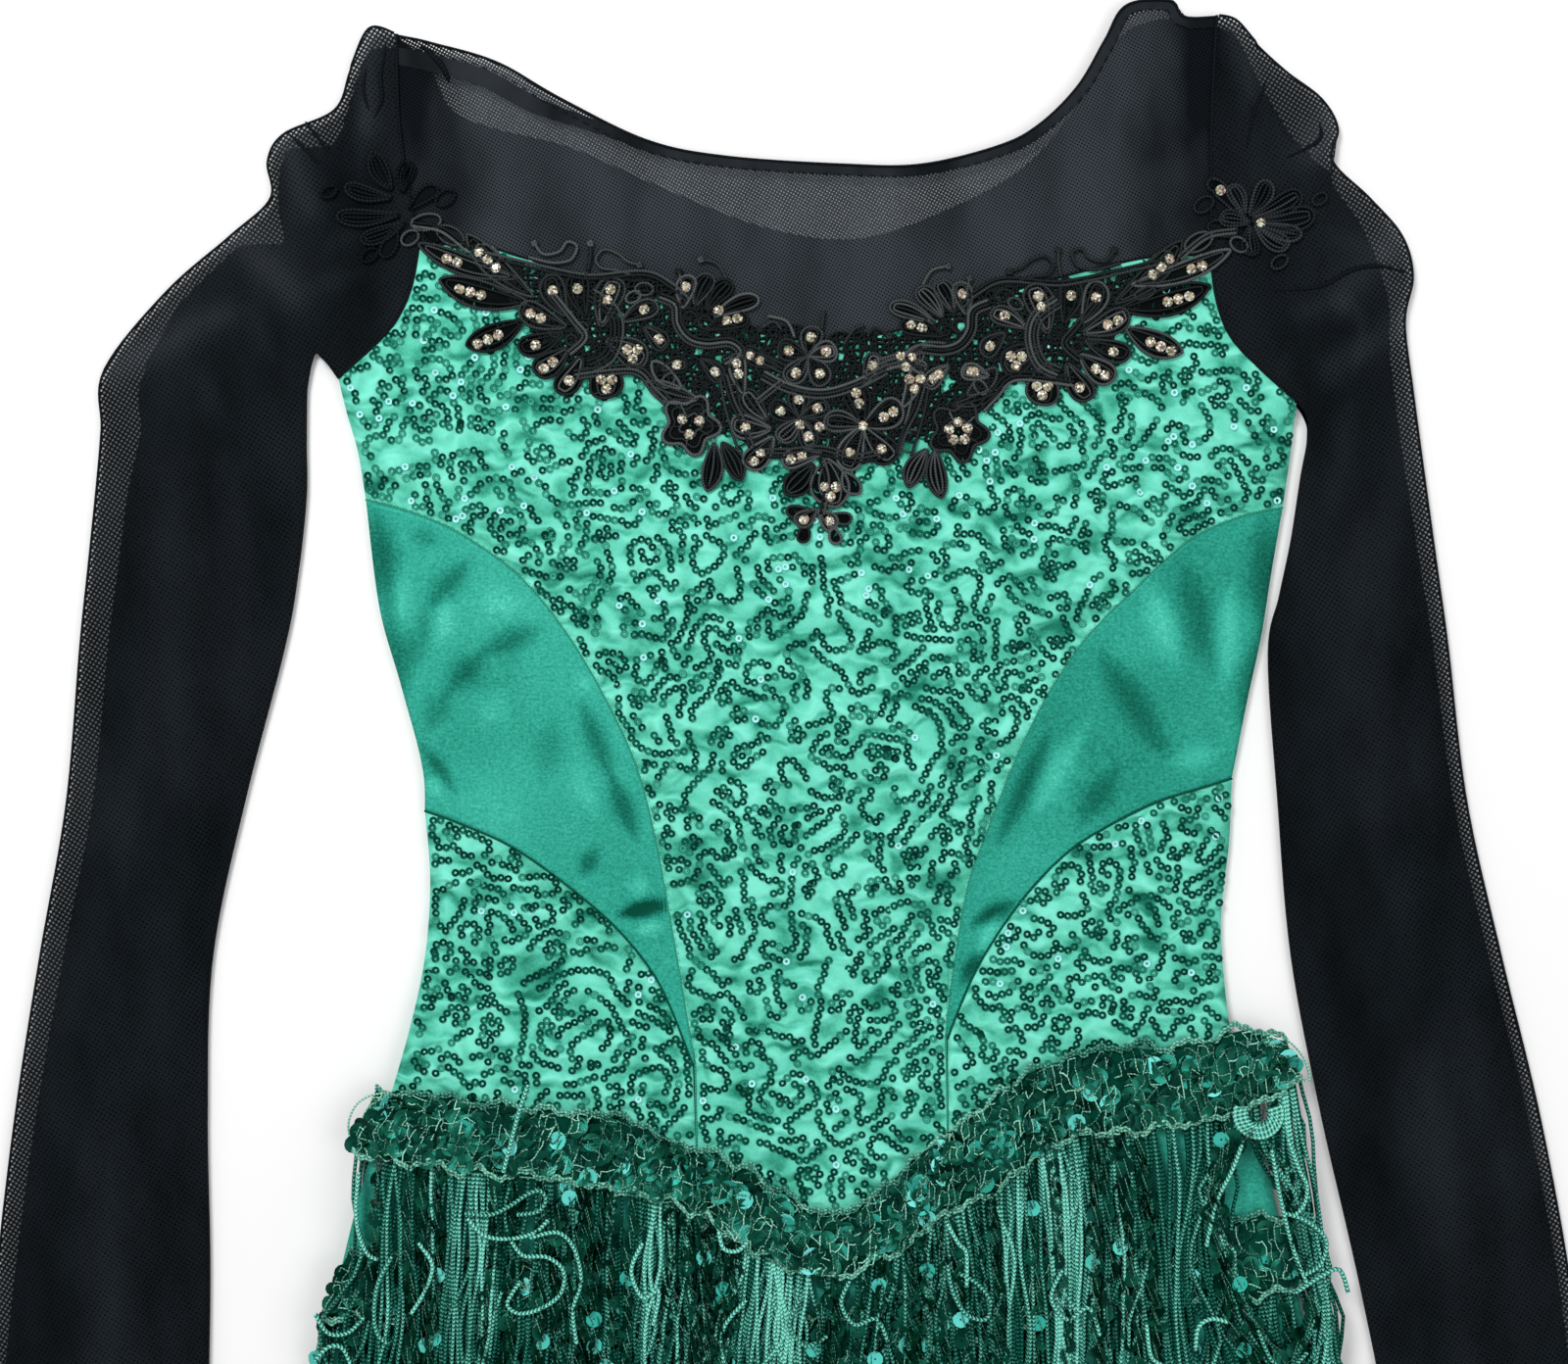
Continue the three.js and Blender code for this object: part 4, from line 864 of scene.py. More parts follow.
# ---------------------------------------------------------------- seams and the turned neck edge
def seam_cord(name, line, height, radius, material):
    z = height(line[:, 0], line[:, 1])
    return parts_mesh(name, [bar(np.column_stack([line, z]), radius, 6, 0.4)], material)


def stitches(name, line, z, radius, tone, material):
    """Every second step of a line is one straight stitch."""
    points = np.column_stack([line, z])
    pairs = np.stack([points[:-1], points[1:]], 1)[::2]
    parts_mesh(name, [bar(pairs, radius, 4, tone)], material)


over_cloth = lambda x, y: front_under(x, y) + WALL + 0.1
BLACK_GLOSS = (0.75, 0.95, 1.0, 1.0)
black_seam = cord_material("black_seam", srgb(4, 6, 8), srgb(30, 33, 37), 1.4, 0.7, 1.0, 0.0002, BLACK_GLOSS)
bsdf(black_seam).inputs["Specular IOR Level"].default_value = 0.06
for s in SIDE:
    whole = resample(chain(arm[s][0], arm[s][1]), 90)
    seam_cord("armhole_seam_" + s, whole, over_cloth, 0.55, black_seam)
    seam_cord("armhole_seam_back_" + s, whole, lambda x, y: back_under(x, y) + 0.7, 0.6, black_seam)
for s in SIDE:
    parts_mesh("sleeve_crease_" + s, [bar(sleeve_edge[s], 0.5, 6, 0.5)], black_seam)
seam_cord("yoke_seam_cord", resample(yoke_line, 160), over_cloth, 0.45, black_seam)
seam_cord("neck_edge", neck + inward * 0.5, lambda x, y: front_under(x, y) + 0.9, 0.55, black_seam)
dark_seam = cord_material("dark_seam", srgb(0, 44, 32), srgb(20, 100, 80), 1.4, 0.6, 1.0, 0.0002)
mid_seam = cord_material("mid_seam", srgb(18, 100, 80), srgb(78, 176, 150), 1.2, 0.6, 1.0, 0.0001)
mint_stitch = cord_material("mint_stitch", srgb(70, 170, 142), srgb(136, 226, 200), 1.4, 0.6, 1.0, 0.0001)
for s in SIDE:
    seam_cord("hip_seam_" + s, resample(lower[s], 120), over_cloth, 0.4, dark_seam)
    seam_cord("princess_seam_" + s, resample(princess[s], 30), over_cloth, 0.35, mid_seam)
    # Along the upper inset line a mid-dark cord: partly the seam, partly painted shadow cast by the jersey's
    # edge on the satin.
    seam_cord("inset_seam_" + s, resample(upper[s], 140), lambda x, y: over_cloth(x, y) - 0.15, 0.32,
              mid_seam)
    line = resample(upper[s], 190) + (0.7 * (1 if s == "left" else -1), 0.5)
    stitches("inset_stitches_" + s, line, over_cloth(line[:, 0], line[:, 1]) + 0.1, 0.16, 0.8, mint_stitch)
dash = neck + inward * 4.2
z = front_under(dash[:, 0], dash[:, 1]) + WALL * 0.5 + 0.75
stitches("neck_stitches", dash, z, 0.22, 0.9, black_seam)

# ---------------------------------------------------------------- sequins sewn in wandering lines
def outline(grid):
    return np.vstack([grid[0], grid[1:, -1], grid[-1][::-1][1:], grid[:, 0][::-1][1:-1]])[::2]


def inside(loop):
    """A test for points inside a closed loop."""
    def test(p):
        x, y = p[:, 0][:, None], p[:, 1][:, None]
        x1, y1 = loop[:, 0], loop[:, 1]
        x2, y2 = np.roll(x1, -1), np.roll(y1, -1)
        hit = (y1 > y) != (y2 > y)
        cross = x < (x2 - x1) * (y - y1) / np.where(y2 == y1, 1e-9, y2 - y1) + x1
        return (hit & cross).sum(1) % 2 == 1

    return test


def wandering_lines(grid, seed, spacing=2.7, clear=2.45, gap=5.3):
    """Chains of points that wander over a panel without crossing, close to evenly spread."""
    r = np.random.default_rng(seed)
    loop = outline(grid)
    test = inside(loop)
    lo, hi = loop.min(0), loop.max(0)
    nx, ny = int((hi[0] - lo[0]) / 0.8) + 3, int((hi[1] - lo[1]) / 0.8) + 3
    gx, gy = np.meshgrid(lo[0] + np.arange(nx) * 0.8, lo[1] + np.arange(ny) * 0.8)
    mask = test(np.column_stack([gx.ravel(), gy.ravel()])).reshape(ny, nx)
    from_edge = mask.copy()
    for dx, dy in ((2, 0), (-2, 0), (0, 2), (0, -2)):
        from_edge &= np.roll(np.roll(mask, dx, 1), dy, 0)
    cell = {}

    def near(p, radius, skip):
        a, b = int(p[0] // 8), int(p[1] // 8)
        for i in (a - 1, a, a + 1):
            for j in (b - 1, b, b + 1):
                for q in cell.get((i, j), ()):
                    if q[2] in skip:
                        continue
                    if (q[0] - p[0]) ** 2 + (q[1] - p[1]) ** 2 < radius * radius:
                        return True
        return False

    def ok(p):
        i, j = int((p[0] - lo[0]) / 0.8), int((p[1] - lo[1]) / 0.8)
        return 0 <= i < nx and 0 <= j < ny and from_edge[j, i]

    points, number, miss = [], 0, 0
    starts = loop.min(0) + r.random((26000, 2)) * (hi - lo)
    for p0 in starts:
        if not ok(p0) or near(p0, gap, ()):
            continue
        for direction in (0, 1):
            if direction == 0:
                heading0 = r.random() * 2 * math.pi
                ids = []
            p, heading = p0.copy(), heading0 + math.pi * direction
            turn, left = 0.0, int(r.integers(3, 17))
            while left > 0:
                if r.random() < 0.36:
                    turn = r.normal(0, 0.85)
                heading += turn + r.normal(0, 0.28)
                best = None
                for delta in (0, 0.5, -0.5, 1.0, -1.0, 1.5, -1.5):
                    q = p + spacing * np.array([math.cos(heading + delta), math.sin(heading + delta)])
                    if ok(q) and not near(q, clear, ids[-2:]) and not near(q, 3.5, ids[-5:]):
                        best = (q, heading + delta)
                        break
                if best is None:
                    break
                p, heading = best
                ids.append(number)
                cell.setdefault((int(p[0] // 8), int(p[1] // 8)), []).append((p[0], p[1], number))
                points.append((p[0], p[1], heading))
                number += 1
                left -= 1
    return np.array(points)


def sewn_sequins(name, grid, seed, flash):
    pts = wandering_lines(grid, seed)
    x, y = pts[:, 0], pts[:, 1]
    z = front_under(x, y) + WALL + swell(x, y) + 0.28
    k = len(pts)
    tilt = np.abs(rng.normal(0.10, 0.12, k))
    way = rng.random(k) * 2 * np.pi
    nrm = np.column_stack([np.sin(tilt) * np.cos(way), np.sin(tilt) * np.sin(way), np.cos(tilt)])
    r = 1.5 * (0.97 + 0.06 * rng.random(k))[:, None]
    v, f, per = rings(np.column_stack([x, y, z]), nrm, r * np.array([0.35, 0.62, 1.0]), [0.0, 0.06, 0.22], 8)
    tone = rng.random(k) * 0.6
    # Painted glints: a sequin drawn under the glint chance gets tone 0.97, near white; one under a larger
    # chance is lighter green.
    glint_chance = flash(x, y)
    u = rng.random(k)
    tone = np.where(u < glint_chance, 0.97,
                    np.where(u < 3.5 * glint_chance + 0.1, 0.66 + 0.14 * rng.random(k), tone))
    # Painted shade and highlight on each cup: the rings at the hole and at the edge darker, the middle ring
    # lighter; a glinting sequin is brightest at its inner rings.
    rim = np.tile(np.repeat([-0.12, 0.06, -0.14], 8), k)
    tone = np.where(np.repeat(tone, per) > 0.92, np.where(rim > 0, 1.0, 0.945),
                    (np.repeat(tone, per) + rim).clip(0, 0.9))
    make_mesh(name, v, f, sequin, smooth_shade=False, attrs={"tone": tone})


# How often a sequin is drawn as a painted glint: more of them towards the top and the left.
flash = lambda x, y: 0.012 + (0.045 + 0.04 * smoothstep(-70, -120, x)) * smoothstep(60, 150, y)
sewn_sequins("sequins_centre", CENTRE, 5, flash)
for i, s in enumerate(SIDE):
    sewn_sequins("sequins_hip_" + s, HIPS[s], 7 + i, flash)


# ---------------------------------------------------------------- the height of the cloth
def cloth_tree():
    verts, polys, base = [], [], 0
    for ob in bpy.data.objects:
        if ob.get("is_cloth"):
            me = ob.data
            co = np.empty(len(me.vertices) * 3, np.float32)
            me.vertices.foreach_get("co", co)
            verts.append(co.reshape(-1, 3) / MM)
            polys += [[base + i for i in p.vertices] for p in me.polygons]
            base += len(me.vertices)
    return BVHTree.FromPolygons(np.vstack(verts).tolist(), polys)


tree = cloth_tree()


def cloth_top(x, y, bare=4.6):
    flat = np.column_stack([np.ravel(x), np.ravel(y)])
    z = [tree.ray_cast((a, b, 60.0), (0, 0, -1))[0] for a, b in flat]
    return np.array([bare if h is None else max(h.z, 2.6) for h in z]).reshape(np.shape(x))


# ---------------------------------------------------------------- tight pleats in the net at the shoulders
PLEATS = [
    (0.9, [(-162, 293), (-164, 281), (-163.5, 273), (-166, 266)]),
    (0.8, [(-169, 284), (-170, 276), (-168, 268)]),
    (0.8, [(-198, 260), (-192, 254), (-186, 248)]), (0.7, [(-192, 264.5), (-187, 258), (-182, 252)]),
    (1.4, [(-149, 293), (-141, 285), (-138.5, 279)]), (0.8, [(185, 264.5), (184.5, 257), (173, 251)]),
    (1.0, [(218, 208.5), (207, 210.5), (197, 209), (185, 203), (167, 201.5)]),
    (0.7, [(166, 281), (161, 268), (158, 255)])]
parts = []
for radius, points in PLEATS:
    line = smooth(points, 10)
    z = cloth_top(line[:, 0], line[:, 1])
    size = radius * (0.25 + 0.75 * np.sin(np.linspace(0, np.pi, len(line))))
    parts.append(bar(np.column_stack([line, z]), size[None], 6, 0.3))
parts_mesh("shoulder_pleats", parts, black_seam)

# ---------------------------------------------------------------- corded lace
# Motifs of the left half, made twice: base x, y, tip x, y, width, stones, 1 where pointed.
PETALS = [
    (-109, 197, -142, 205.5, 10, 3, 1), (-107, 199, -132, 222.5, 8, 3, 1), (-113, 206, -150, 219, 7, 2, 1),
    (-111, 190, -132, 181, 9, 3, 1), (-96, 185.5, -112.5, 180, 9, 1, 0), (-94, 180, -106.5, 171, 10, 2, 0),
    (-89, 177, -97.5, 163.5, 10, 1, 0), (-82, 177, -80, 161.5, 14, 3, 0), (-80, 183, -65.5, 174.5, 12, 3, 0),
    (-82, 188, -76, 206, 12, 2, 0), (-88, 192, -91, 208, 9.5, 1, 0), (-95, 192, -101.5, 207, 10.5, 1, 0),
    (-95, 188, -112, 195.5, 10, 2, 0), (-74, 190, -61, 196, 8, 1, 0),
    (-51.7, 195, -49, 207, 8, 1, 0), (-47, 196, -41.5, 207.5, 8, 0, 0), (-43, 194, -34, 205, 8, 0, 0),
    (-40, 192, -23.5, 198.5, 7, 0, 0), (-43, 187, -27.5, 191.5, 7.5, 2, 0),
    (-66, 188, -58, 180, 8, 1, 0), (-60, 172, -50, 174, 7, 1, 0), (-45, 176, -37, 168, 7, 1, 0),
    (-40, 145, -42.5, 127, 7, 0, 1), (-37, 145, -30, 131, 7, 0, 1), (-46, 161, -65, 167, 7, 0, 1),
    (-52, 165, -63, 175, 6, 0, 1)]
MIDDLE_PETALS = [
    (-5, 177, -2.5, 188, 9, 1, 0), (-5, 177, -16, 181, 9, 1, 0), (-5, 177, -13, 168, 9, 1, 0),
    (-5, 177, 1, 166.5, 9, 1, 0), (-5, 177, 5.5, 179, 9, 1, 0),
    (-8, 154, -8, 165, 9, 1, 0), (-8, 154, 2.5, 159, 8, 1, 0), (-8, 154, -19, 159, 8, 1, 0),
    (-8, 154, -4, 143, 8, 1, 0), (-8, 154, 3, 148, 8, 1, 0), (-8, 154, -16, 146, 8, 0, 0),
    (15.4, 151, 11, 167, 11, 2, 0), (15.4, 151, 29.5, 159, 12, 2, 0), (15.4, 151, 27, 138.5, 12, 1, 0),
    (15.4, 151, 9, 135, 11, 1, 0), (15.4, 151, 1, 153, 9, 0, 0),
    (-19, 150, -33.5, 152, 10, 1, 0), (-18, 147, -28, 136, 10, 2, 0), (-20, 153, -29, 164, 9, 0, 0),
    (-29, 163, -31.5, 178, 7, 2, 0), (-16, 173, -29, 179.5, 7, 2, 0),
    (19, 175, 38, 177.5, 6.5, 3, 0), (30, 158, 36, 173, 6.5, 3, 0), (16, 166, 20, 178, 8, 1, 0),
    (0, 141, -14.5, 137.5, 8, 2, 0), (1.8, 139, 5.5, 121, 14, 3, 1), (-3, 137, -13.5, 126, 9, 0, 1),
    (8, 134, 14, 126, 6, 0, 1), (-2, 120, -9.5, 115, 7, 1, 0), (-1, 120, 4.5, 113, 7, 1, 0),
    (-4, 120, -13, 119.5, 5, 0, 0), (-6, 115, -7.5, 108, 5, 0, 0), (4, 114, 6, 107.5, 5, 0, 0),
    (3, 118, 11, 116.5, 5, 0, 0)]
SPRIG_PETALS = [
    (-158, 230, -181, 232, 10, 0, 0), (-158, 231, -176, 240, 9, 0, 0), (-157, 232, -164, 244.5, 8, 0, 0),
    (-155, 232, -150, 243, 7, 0, 0), (-152, 233, -142, 245, 6, 1, 0), (-157, 229, -146, 231, 7, 0, 0),
    (-159, 228, -171, 220, 8, 0, 0), (-159, 229, -176, 224.5, 7, 0, 0), (-157, 228, -158, 217, 7, 0, 0)]
LEFT_SPRIG_PETALS = [
    (-155, 227, -171, 220, 6.5, 0, 0), (-157, 230, -180, 229, 7, 0, 0), (-160, 236, -177, 240, 6.5, 0, 0),
    (-160, 239, -167, 253, 6.5, 0, 1), (-156, 238, -153, 249, 6.5, 0, 0), (-153, 232, -143, 240, 6, 0, 0),
    (-150, 227, -143, 220, 6, 0, 0), (-158, 226, -163, 214, 6, 0, 0)]
# Bands of parallel cords: how many, then the points of the middle line.
BANDS = [
    (4, [(-86, 200), (-78, 194), (-76, 186), (-79, 177), (-86, 173)]),
    (3, [(-60.5, 199), (-54.5, 196), (-53.5, 189), (-49.5, 183.5), (-43, 181.5), (-34, 182), (-30, 178),
         (-36, 174)]),
    (2, [(-126, 215), (-109, 211), (-96, 208), (-85, 206.5), (-66, 208), (-56, 203.5), (-50, 198)]),
    (3, [(-92, 170), (-70, 172), (-62, 165), (-57, 160)]),
    (3, [(-30, 178), (-22, 176), (-14, 172)]),
    (2, [(-36, 170), (-33, 160), (-29, 152), (-26, 143)]), (2, [(-152, 226), (-141, 224), (-131, 216)]),
    (2, [(-100, 200), (-92, 190), (-88, 184), (-94, 178)])]
MIDDLE_BANDS = [
    (3, [(-22, 170), (-12, 165), (0, 163), (12, 166), (24, 172)]), (2, [(-24, 160), (-14, 168)]),
    (3, [(-24, 141), (-12, 141), (0, 142), (12, 139), (24, 141)]), (2, [(0, 139), (2, 130), (0, 118)]),
    (2, [(31, 176), (38, 181), (46, 181)]), (1, [(-10, 184), (-13, 190), (-20, 192)]),
    (1, [(8, 181), (12, 187), (16, 188.5)]), (1, [(0, 187), (1, 194)])]
SCROLLS = [
    [(-106.8, 219), (-103.4, 215), (-97.5, 216), (-94.6, 219.6), (-91, 218), (-92.7, 213.5), (-96.5, 212),
     (-101.5, 212),
     (-109, 214)],
    [(-86, 219), (-86, 214), (-87, 209)],
    [(-67.8, 211), (-72.2, 212.4), (-76, 215.3), (-81, 216.8), (-84, 213.4), (-82, 210), (-76, 209),
     (-70, 207)],
    [(-53, 208.5), (-52, 203), (-52.5, 198)], [(-45, 213), (-39, 211.5), (-35.5, 206)],
    [(-23, 187), (-18, 190), (-15, 187)]]
# centre x, y, half length, half width, turn
LOOPS = [
    (-89, 187.5, 2.2, 2.2, 0), (-99, 186, 2.0, 2.0, 0), (-93, 183, 2.0, 2.0, 0), (-49, 191, 2.6, 2.6, 0),
    (-43.5, 189.5, 2.4, 2.4, 0), (-147, 227, 5.5, 3, 0.2), (-138, 222, 5.5, 3.2, -0.5),
    (-153, 221, 3.5, 2.5, 0.6),
    (-124, 215, 5, 3, -0.6), (-66, 202, 3.4, 2.4, 0), (-70, 199, 3, 2, 0.5), (-57, 168, 3.2, 2, 0.9),
    (-34, 176, 3, 2, 0.2), (-118, 203, 4, 2, -0.4)]
FLOWERS = [(-48.8, 151.5, 11.5, 5, 3)]
LADDERS = [((-35, 169), (-33, 158), (-28.5, 143))]
# The even ground of bars behind the motifs.
GROUND = [(-133, 217), (-108, 210), (-88, 209), (-62, 206), (-34, 199), (-33, 190), (-22, 188), (-12, 189),
          (1, 190),
          (1, 138), (-12, 141), (-26, 142), (-33, 150), (-40, 146), (-56, 157), (-62, 167), (-72, 171),
          (-90, 172),
          (-104, 181), (-111, 192), (-126, 206)]
MIRROR = (2.0, -2.5)  # the right half: x turned over about half of this, y moved by this
CORD, THIN_CORD, LACE_GAP = 0.66, 0.46, 0.25

lace_fill = cord_material("lace_fill", srgb(2, 4, 5), srgb(36, 40, 41), 0.9, 0.7, 0.0, 0.0003, BLACK_GLOSS)
lace_cord = cord_material("lace_cord", srgb(3, 6, 7), srgb(100, 104, 105), 1.0, 0.45, 1.0, 0.0004,
                          BLACK_GLOSS, False,
                          srgb(38, 42, 43), 0.18)
lace_dim = cord_material("lace_dim", srgb(2, 3, 4), srgb(33, 36, 39), 1.5, 0.6, 1.0, 0.0004, BLACK_GLOSS)
lace_mid = cord_material("lace_mid", srgb(2, 4, 6), srgb(66, 69, 72), 1.2, 0.5, 1.0, 0.0004, BLACK_GLOSS)
bsdf(lace_mid).inputs["Specular IOR Level"].default_value = 0.08
bsdf(lace_fill).inputs["Specular IOR Level"].default_value = 0.06
bsdf(lace_cord).inputs["Specular IOR Level"].default_value = 0.15
bsdf(lace_dim).inputs["Specular IOR Level"].default_value = 0.05


def mirrored(points):
    p = np.array(points, float)
    return np.column_stack([MIRROR[0] - p[:, 0], p[:, 1] + MIRROR[1]])


class Lace:
    """Gathers the cords, fills and stones of one piece of lace."""

    def __init__(self, bare=4.6):
        self.bare = bare
        self.cords, self.fills, self.stones = [], [], []

    def cord(self, line, radius=CORD, height=0.0, per=0.9, sides=5):
        line = np.asarray(line, float)
        n = max(3, int(np.linalg.norm(np.diff(line, axis=0), axis=1).sum() / per))
        line = resample(line, n)
        z = cloth_top(line[:, 0], line[:, 1], self.bare) + LACE_GAP + radius + height
        self.cords.append(bar(np.column_stack([line, z]), radius, sides, 0.1 + 0.7 * rng.random()))

    def ball(self, x, y, r=1.0):
        a = np.linspace(0, 2 * np.pi, 9)
        self.cord(np.column_stack([x + 0.6 * r * np.cos(a), y + 0.6 * r * np.sin(a)]), 0.6 * r, 0.1, 0.6)

    def petal(self, x0, y0, x1, y1, width, stones, pointed):
        base, tip = np.array([x0, y0], float), np.array([x1, y1], float)
        axis = tip - base
        length = np.linalg.norm(axis)
        axis /= length
        across = np.array([-axis[1], axis[0]])
        s = (1 - np.cos(np.linspace(0, np.pi, 15))) / 2
        if pointed:
            half = width / 2 * (4 * s * (1 - s)) ** 0.8 * (0.75 + 0.5 * s)
        else:
            half = width / 2 * np.sqrt(np.maximum(4 * s * (1 - s), 0)) * (0.35 + 0.85 * s)
        bend = 0.05 * length * np.sin(np.pi * s) * (1 if x0 < 0 else -1)
        mid = base + s[:, None] * length * axis + bend[:, None] * across
        edge = lambda k: np.vstack([mid + half[:, None] * k * across,
                                    (mid - half[:, None] * k * across)[::-1]])
        u = np.linspace(-0.95, 0.95, 7)
        plan = mid[:, None] + (half[:, None] * u[None])[..., None] * across
        z = cloth_top(plan[..., 0], plan[..., 1], self.bare) + LACE_GAP + 0.1 + 0.35 * (1 - u[None] ** 2)
        v = np.dstack([plan, z]).reshape(-1, 3)
        along = np.repeat(s * length, 7) + np.tile(np.abs(u) * width * 0.35, 15)
        self.fills.append((v, [grid_faces(14, 6)],
                           {"along": along, "around": 0.0, "tone": rng.random() * 0.4}))
        self.cord(edge(1.0), CORD, 0.1)
        if width > 6.4:
            inner = mid[2:-2] * 0.92 + mid[2:-2].mean(0) * 0.08
            k = 0.55 * half[2:-2][:, None]
            self.cord(np.vstack([inner + k * across, (inner - k * across)[::-1],
                                 inner[:1] + k[:1] * across]),
                      THIN_CORD, 0.55)
        if stones == 0 and width > 6.4:
            self.cord(mid[1:-3], THIN_CORD, 0.7)
        at = base + axis * length * 0.64 + across * 0.05 * length * (1 if x0 < 0 else -1)
        if stones == 3 and not pointed or stones == 3 and width > 12:
            for a in (0.5, 2.6, 4.7):
                self.stones.append(at + 2.35 * np.array([math.cos(a), math.sin(a)]))
        else:
            for i in range(stones):
                self.stones.append(at + axis * 4.15 * (i - (stones - 1) / 2))

    def flower(self, x, y, radius, lobes, stones):
        a = np.linspace(0, 2 * np.pi, 61)
        shape = lambda k: np.column_stack([x + radius * k * (0.84 + 0.16 * np.cos(lobes * a + 0.6))
                                           * np.cos(a),
                                           y + radius * k * (0.84 + 0.16 * np.cos(lobes * a + 0.6))
                                           * np.sin(a)])
        ring = shape(0.97)
        levels = np.linspace(0.05, 1, 6)
        plan = np.array([x, y]) + (ring - np.array([x, y]))[None] * levels[:, None, None]
        z = cloth_top(plan[..., 0], plan[..., 1],
                      self.bare) + LACE_GAP + 0.3 + 0.5 * (1 - levels[:, None] ** 2)
        self.fills.append((np.dstack([plan, z]).reshape(-1, 3), [grid_faces(5, 60)],
                           {"along": np.tile(a * radius * 0.6, 6), "around": 0.0, "tone": 0.3}))
        self.cord(shape(1.0), CORD * 1.1, 0.1)
        self.cord(shape(0.74), THIN_CORD, 0.5)
        self.cord(shape(0.4), THIN_CORD * 1.2, 0.6)
        for k in range(lobes):
            t = 2 * np.pi * k / lobes + 0.6 / lobes + np.pi / lobes
            way = np.array([math.cos(t), math.sin(t)])
            self.cord(np.array([x, y]) + np.outer([0.25, 0.7], way) * radius, THIN_CORD, 0.6)
        for k in range(stones):
            t = 2 * np.pi * k / stones + 0.4
            self.stones.append(np.array([x + 3.6 * math.cos(t), y + 3.6 * math.sin(t)]))

    def band(self, count, points):
        line = smooth(points, 10)
        t = np.gradient(line, axis=0)
        t /= np.linalg.norm(t, axis=1)[:, None]
        side_way = np.column_stack([-t[:, 1], t[:, 0]])
        for k in range(count):
            self.cord(line + side_way * (k - (count - 1) / 2) * 1.5, CORD, 0.35 + 0.1 * (k % 2))

    def loop(self, x, y, a, b, turn):
        t = np.linspace(0, 2 * np.pi, 25)
        p, q = a * np.cos(t), b * np.sin(t)
        self.cord(np.column_stack([x + p * math.cos(turn) - q * math.sin(turn),
                                   y + p * math.sin(turn) + q * math.cos(turn)]),
                  0.55, 0.3)

    def ladder(self, points):
        line = smooth(points, 8)
        t = np.gradient(line, axis=0)
        t /= np.linalg.norm(t, axis=1)[:, None]
        side_way = np.column_stack([-t[:, 1], t[:, 0]])
        for k in (-2.8, 2.8):
            self.cord(line + side_way * k, 0.6, 0.3)
        for j in range(1, len(line) - 1, 2):
            self.cord([line[j] - side_way[j] * 2.8, line[j] + side_way[j] * 2.8 + (0, 0.6)], 0.34, 0.3)

    def ground(self, outline, pitch=2.1):
        poly = np.asarray(outline, float)
        lo, hi = poly.min(0), poly.max(0)
        nx, ny = int((hi[0] - lo[0]) / pitch) + 2, int((hi[1] - lo[1]) / pitch) + 2
        g = np.stack(np.meshgrid(lo[0] + pitch * np.arange(nx), lo[1] + pitch * np.arange(ny)), -1)
        g = g + rng.uniform(-0.33, 0.33, g.shape) * pitch
        g[::2, :, 0] += pitch / 2
        test = inside(poly)
        keep = test(g.reshape(-1, 2)).reshape(ny, nx) & (noise2(g[..., 0] / 4.2, g[..., 1] / 4.2, 17) < 0.88)
        z = np.where(keep, cloth_top(g[..., 0], g[..., 1], self.bare) + LACE_GAP + 0.35, 0)
        p = np.dstack([g, z])
        ends = []
        for dj, di in ((0, 1), (1, 0), (1, 1)):
            a, b = p[:ny - dj, :nx - di], p[dj:, di:]
            ok = keep[:ny - dj, :nx - di] & keep[dj:, di:] & (rng.random(a.shape[:2]) < (0.95 if dj
                    * di == 0 else 0.5))
            ends.append(np.stack([a[ok], b[ok]], 1))
        self.cords.append(bar(np.vstack(ends), 0.72, 3, 0.1, caps=False))

    def make(self, name, cad_node, material):
        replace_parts(parts_mesh(name + "_cords", self.cords, material), cad_node)
        parts_mesh(name + "_fill", self.fills, lace_fill)
        if self.stones:
            p = np.array(self.stones)
            z = cloth_top(p[:, 0], p[:, 1], self.bare) + LACE_GAP + 0.85
            make_stones(name + "_stones", np.column_stack([p, z]))


def stone_material():
    m = new_material("rhinestone", Roughness=0.07, Coat_Weight=1.0, Coat_Roughness=0.02, IOR=1.6)
    tone = attr(m, "tone")
    # The facet tones, dark brown through champagne to white, are painted reflections; the lightest facets
    # also glow a little: painted glints.
    col = ramp(m, tone, [(0.0, srgb(24, 22, 18)), (0.2, srgb(74, 68, 50)), (0.4, srgb(132, 122, 90)),
                         (0.6, srgb(176, 168, 132)), (0.74, srgb(204, 160, 158)),
                         (0.84, srgb(160, 192, 172)),
                         (0.93, srgb(232, 230, 216))])
    plug(m, col, "Base Color")
    plug(m, ramp(m, tone, [(0.86, (0, 0, 0)), (0.98, (0.3, 0.3, 0.28))]), "Emission Color")
    bsdf(m).inputs["Emission Strength"].default_value = 1.0
    return m


stone = stone_material()


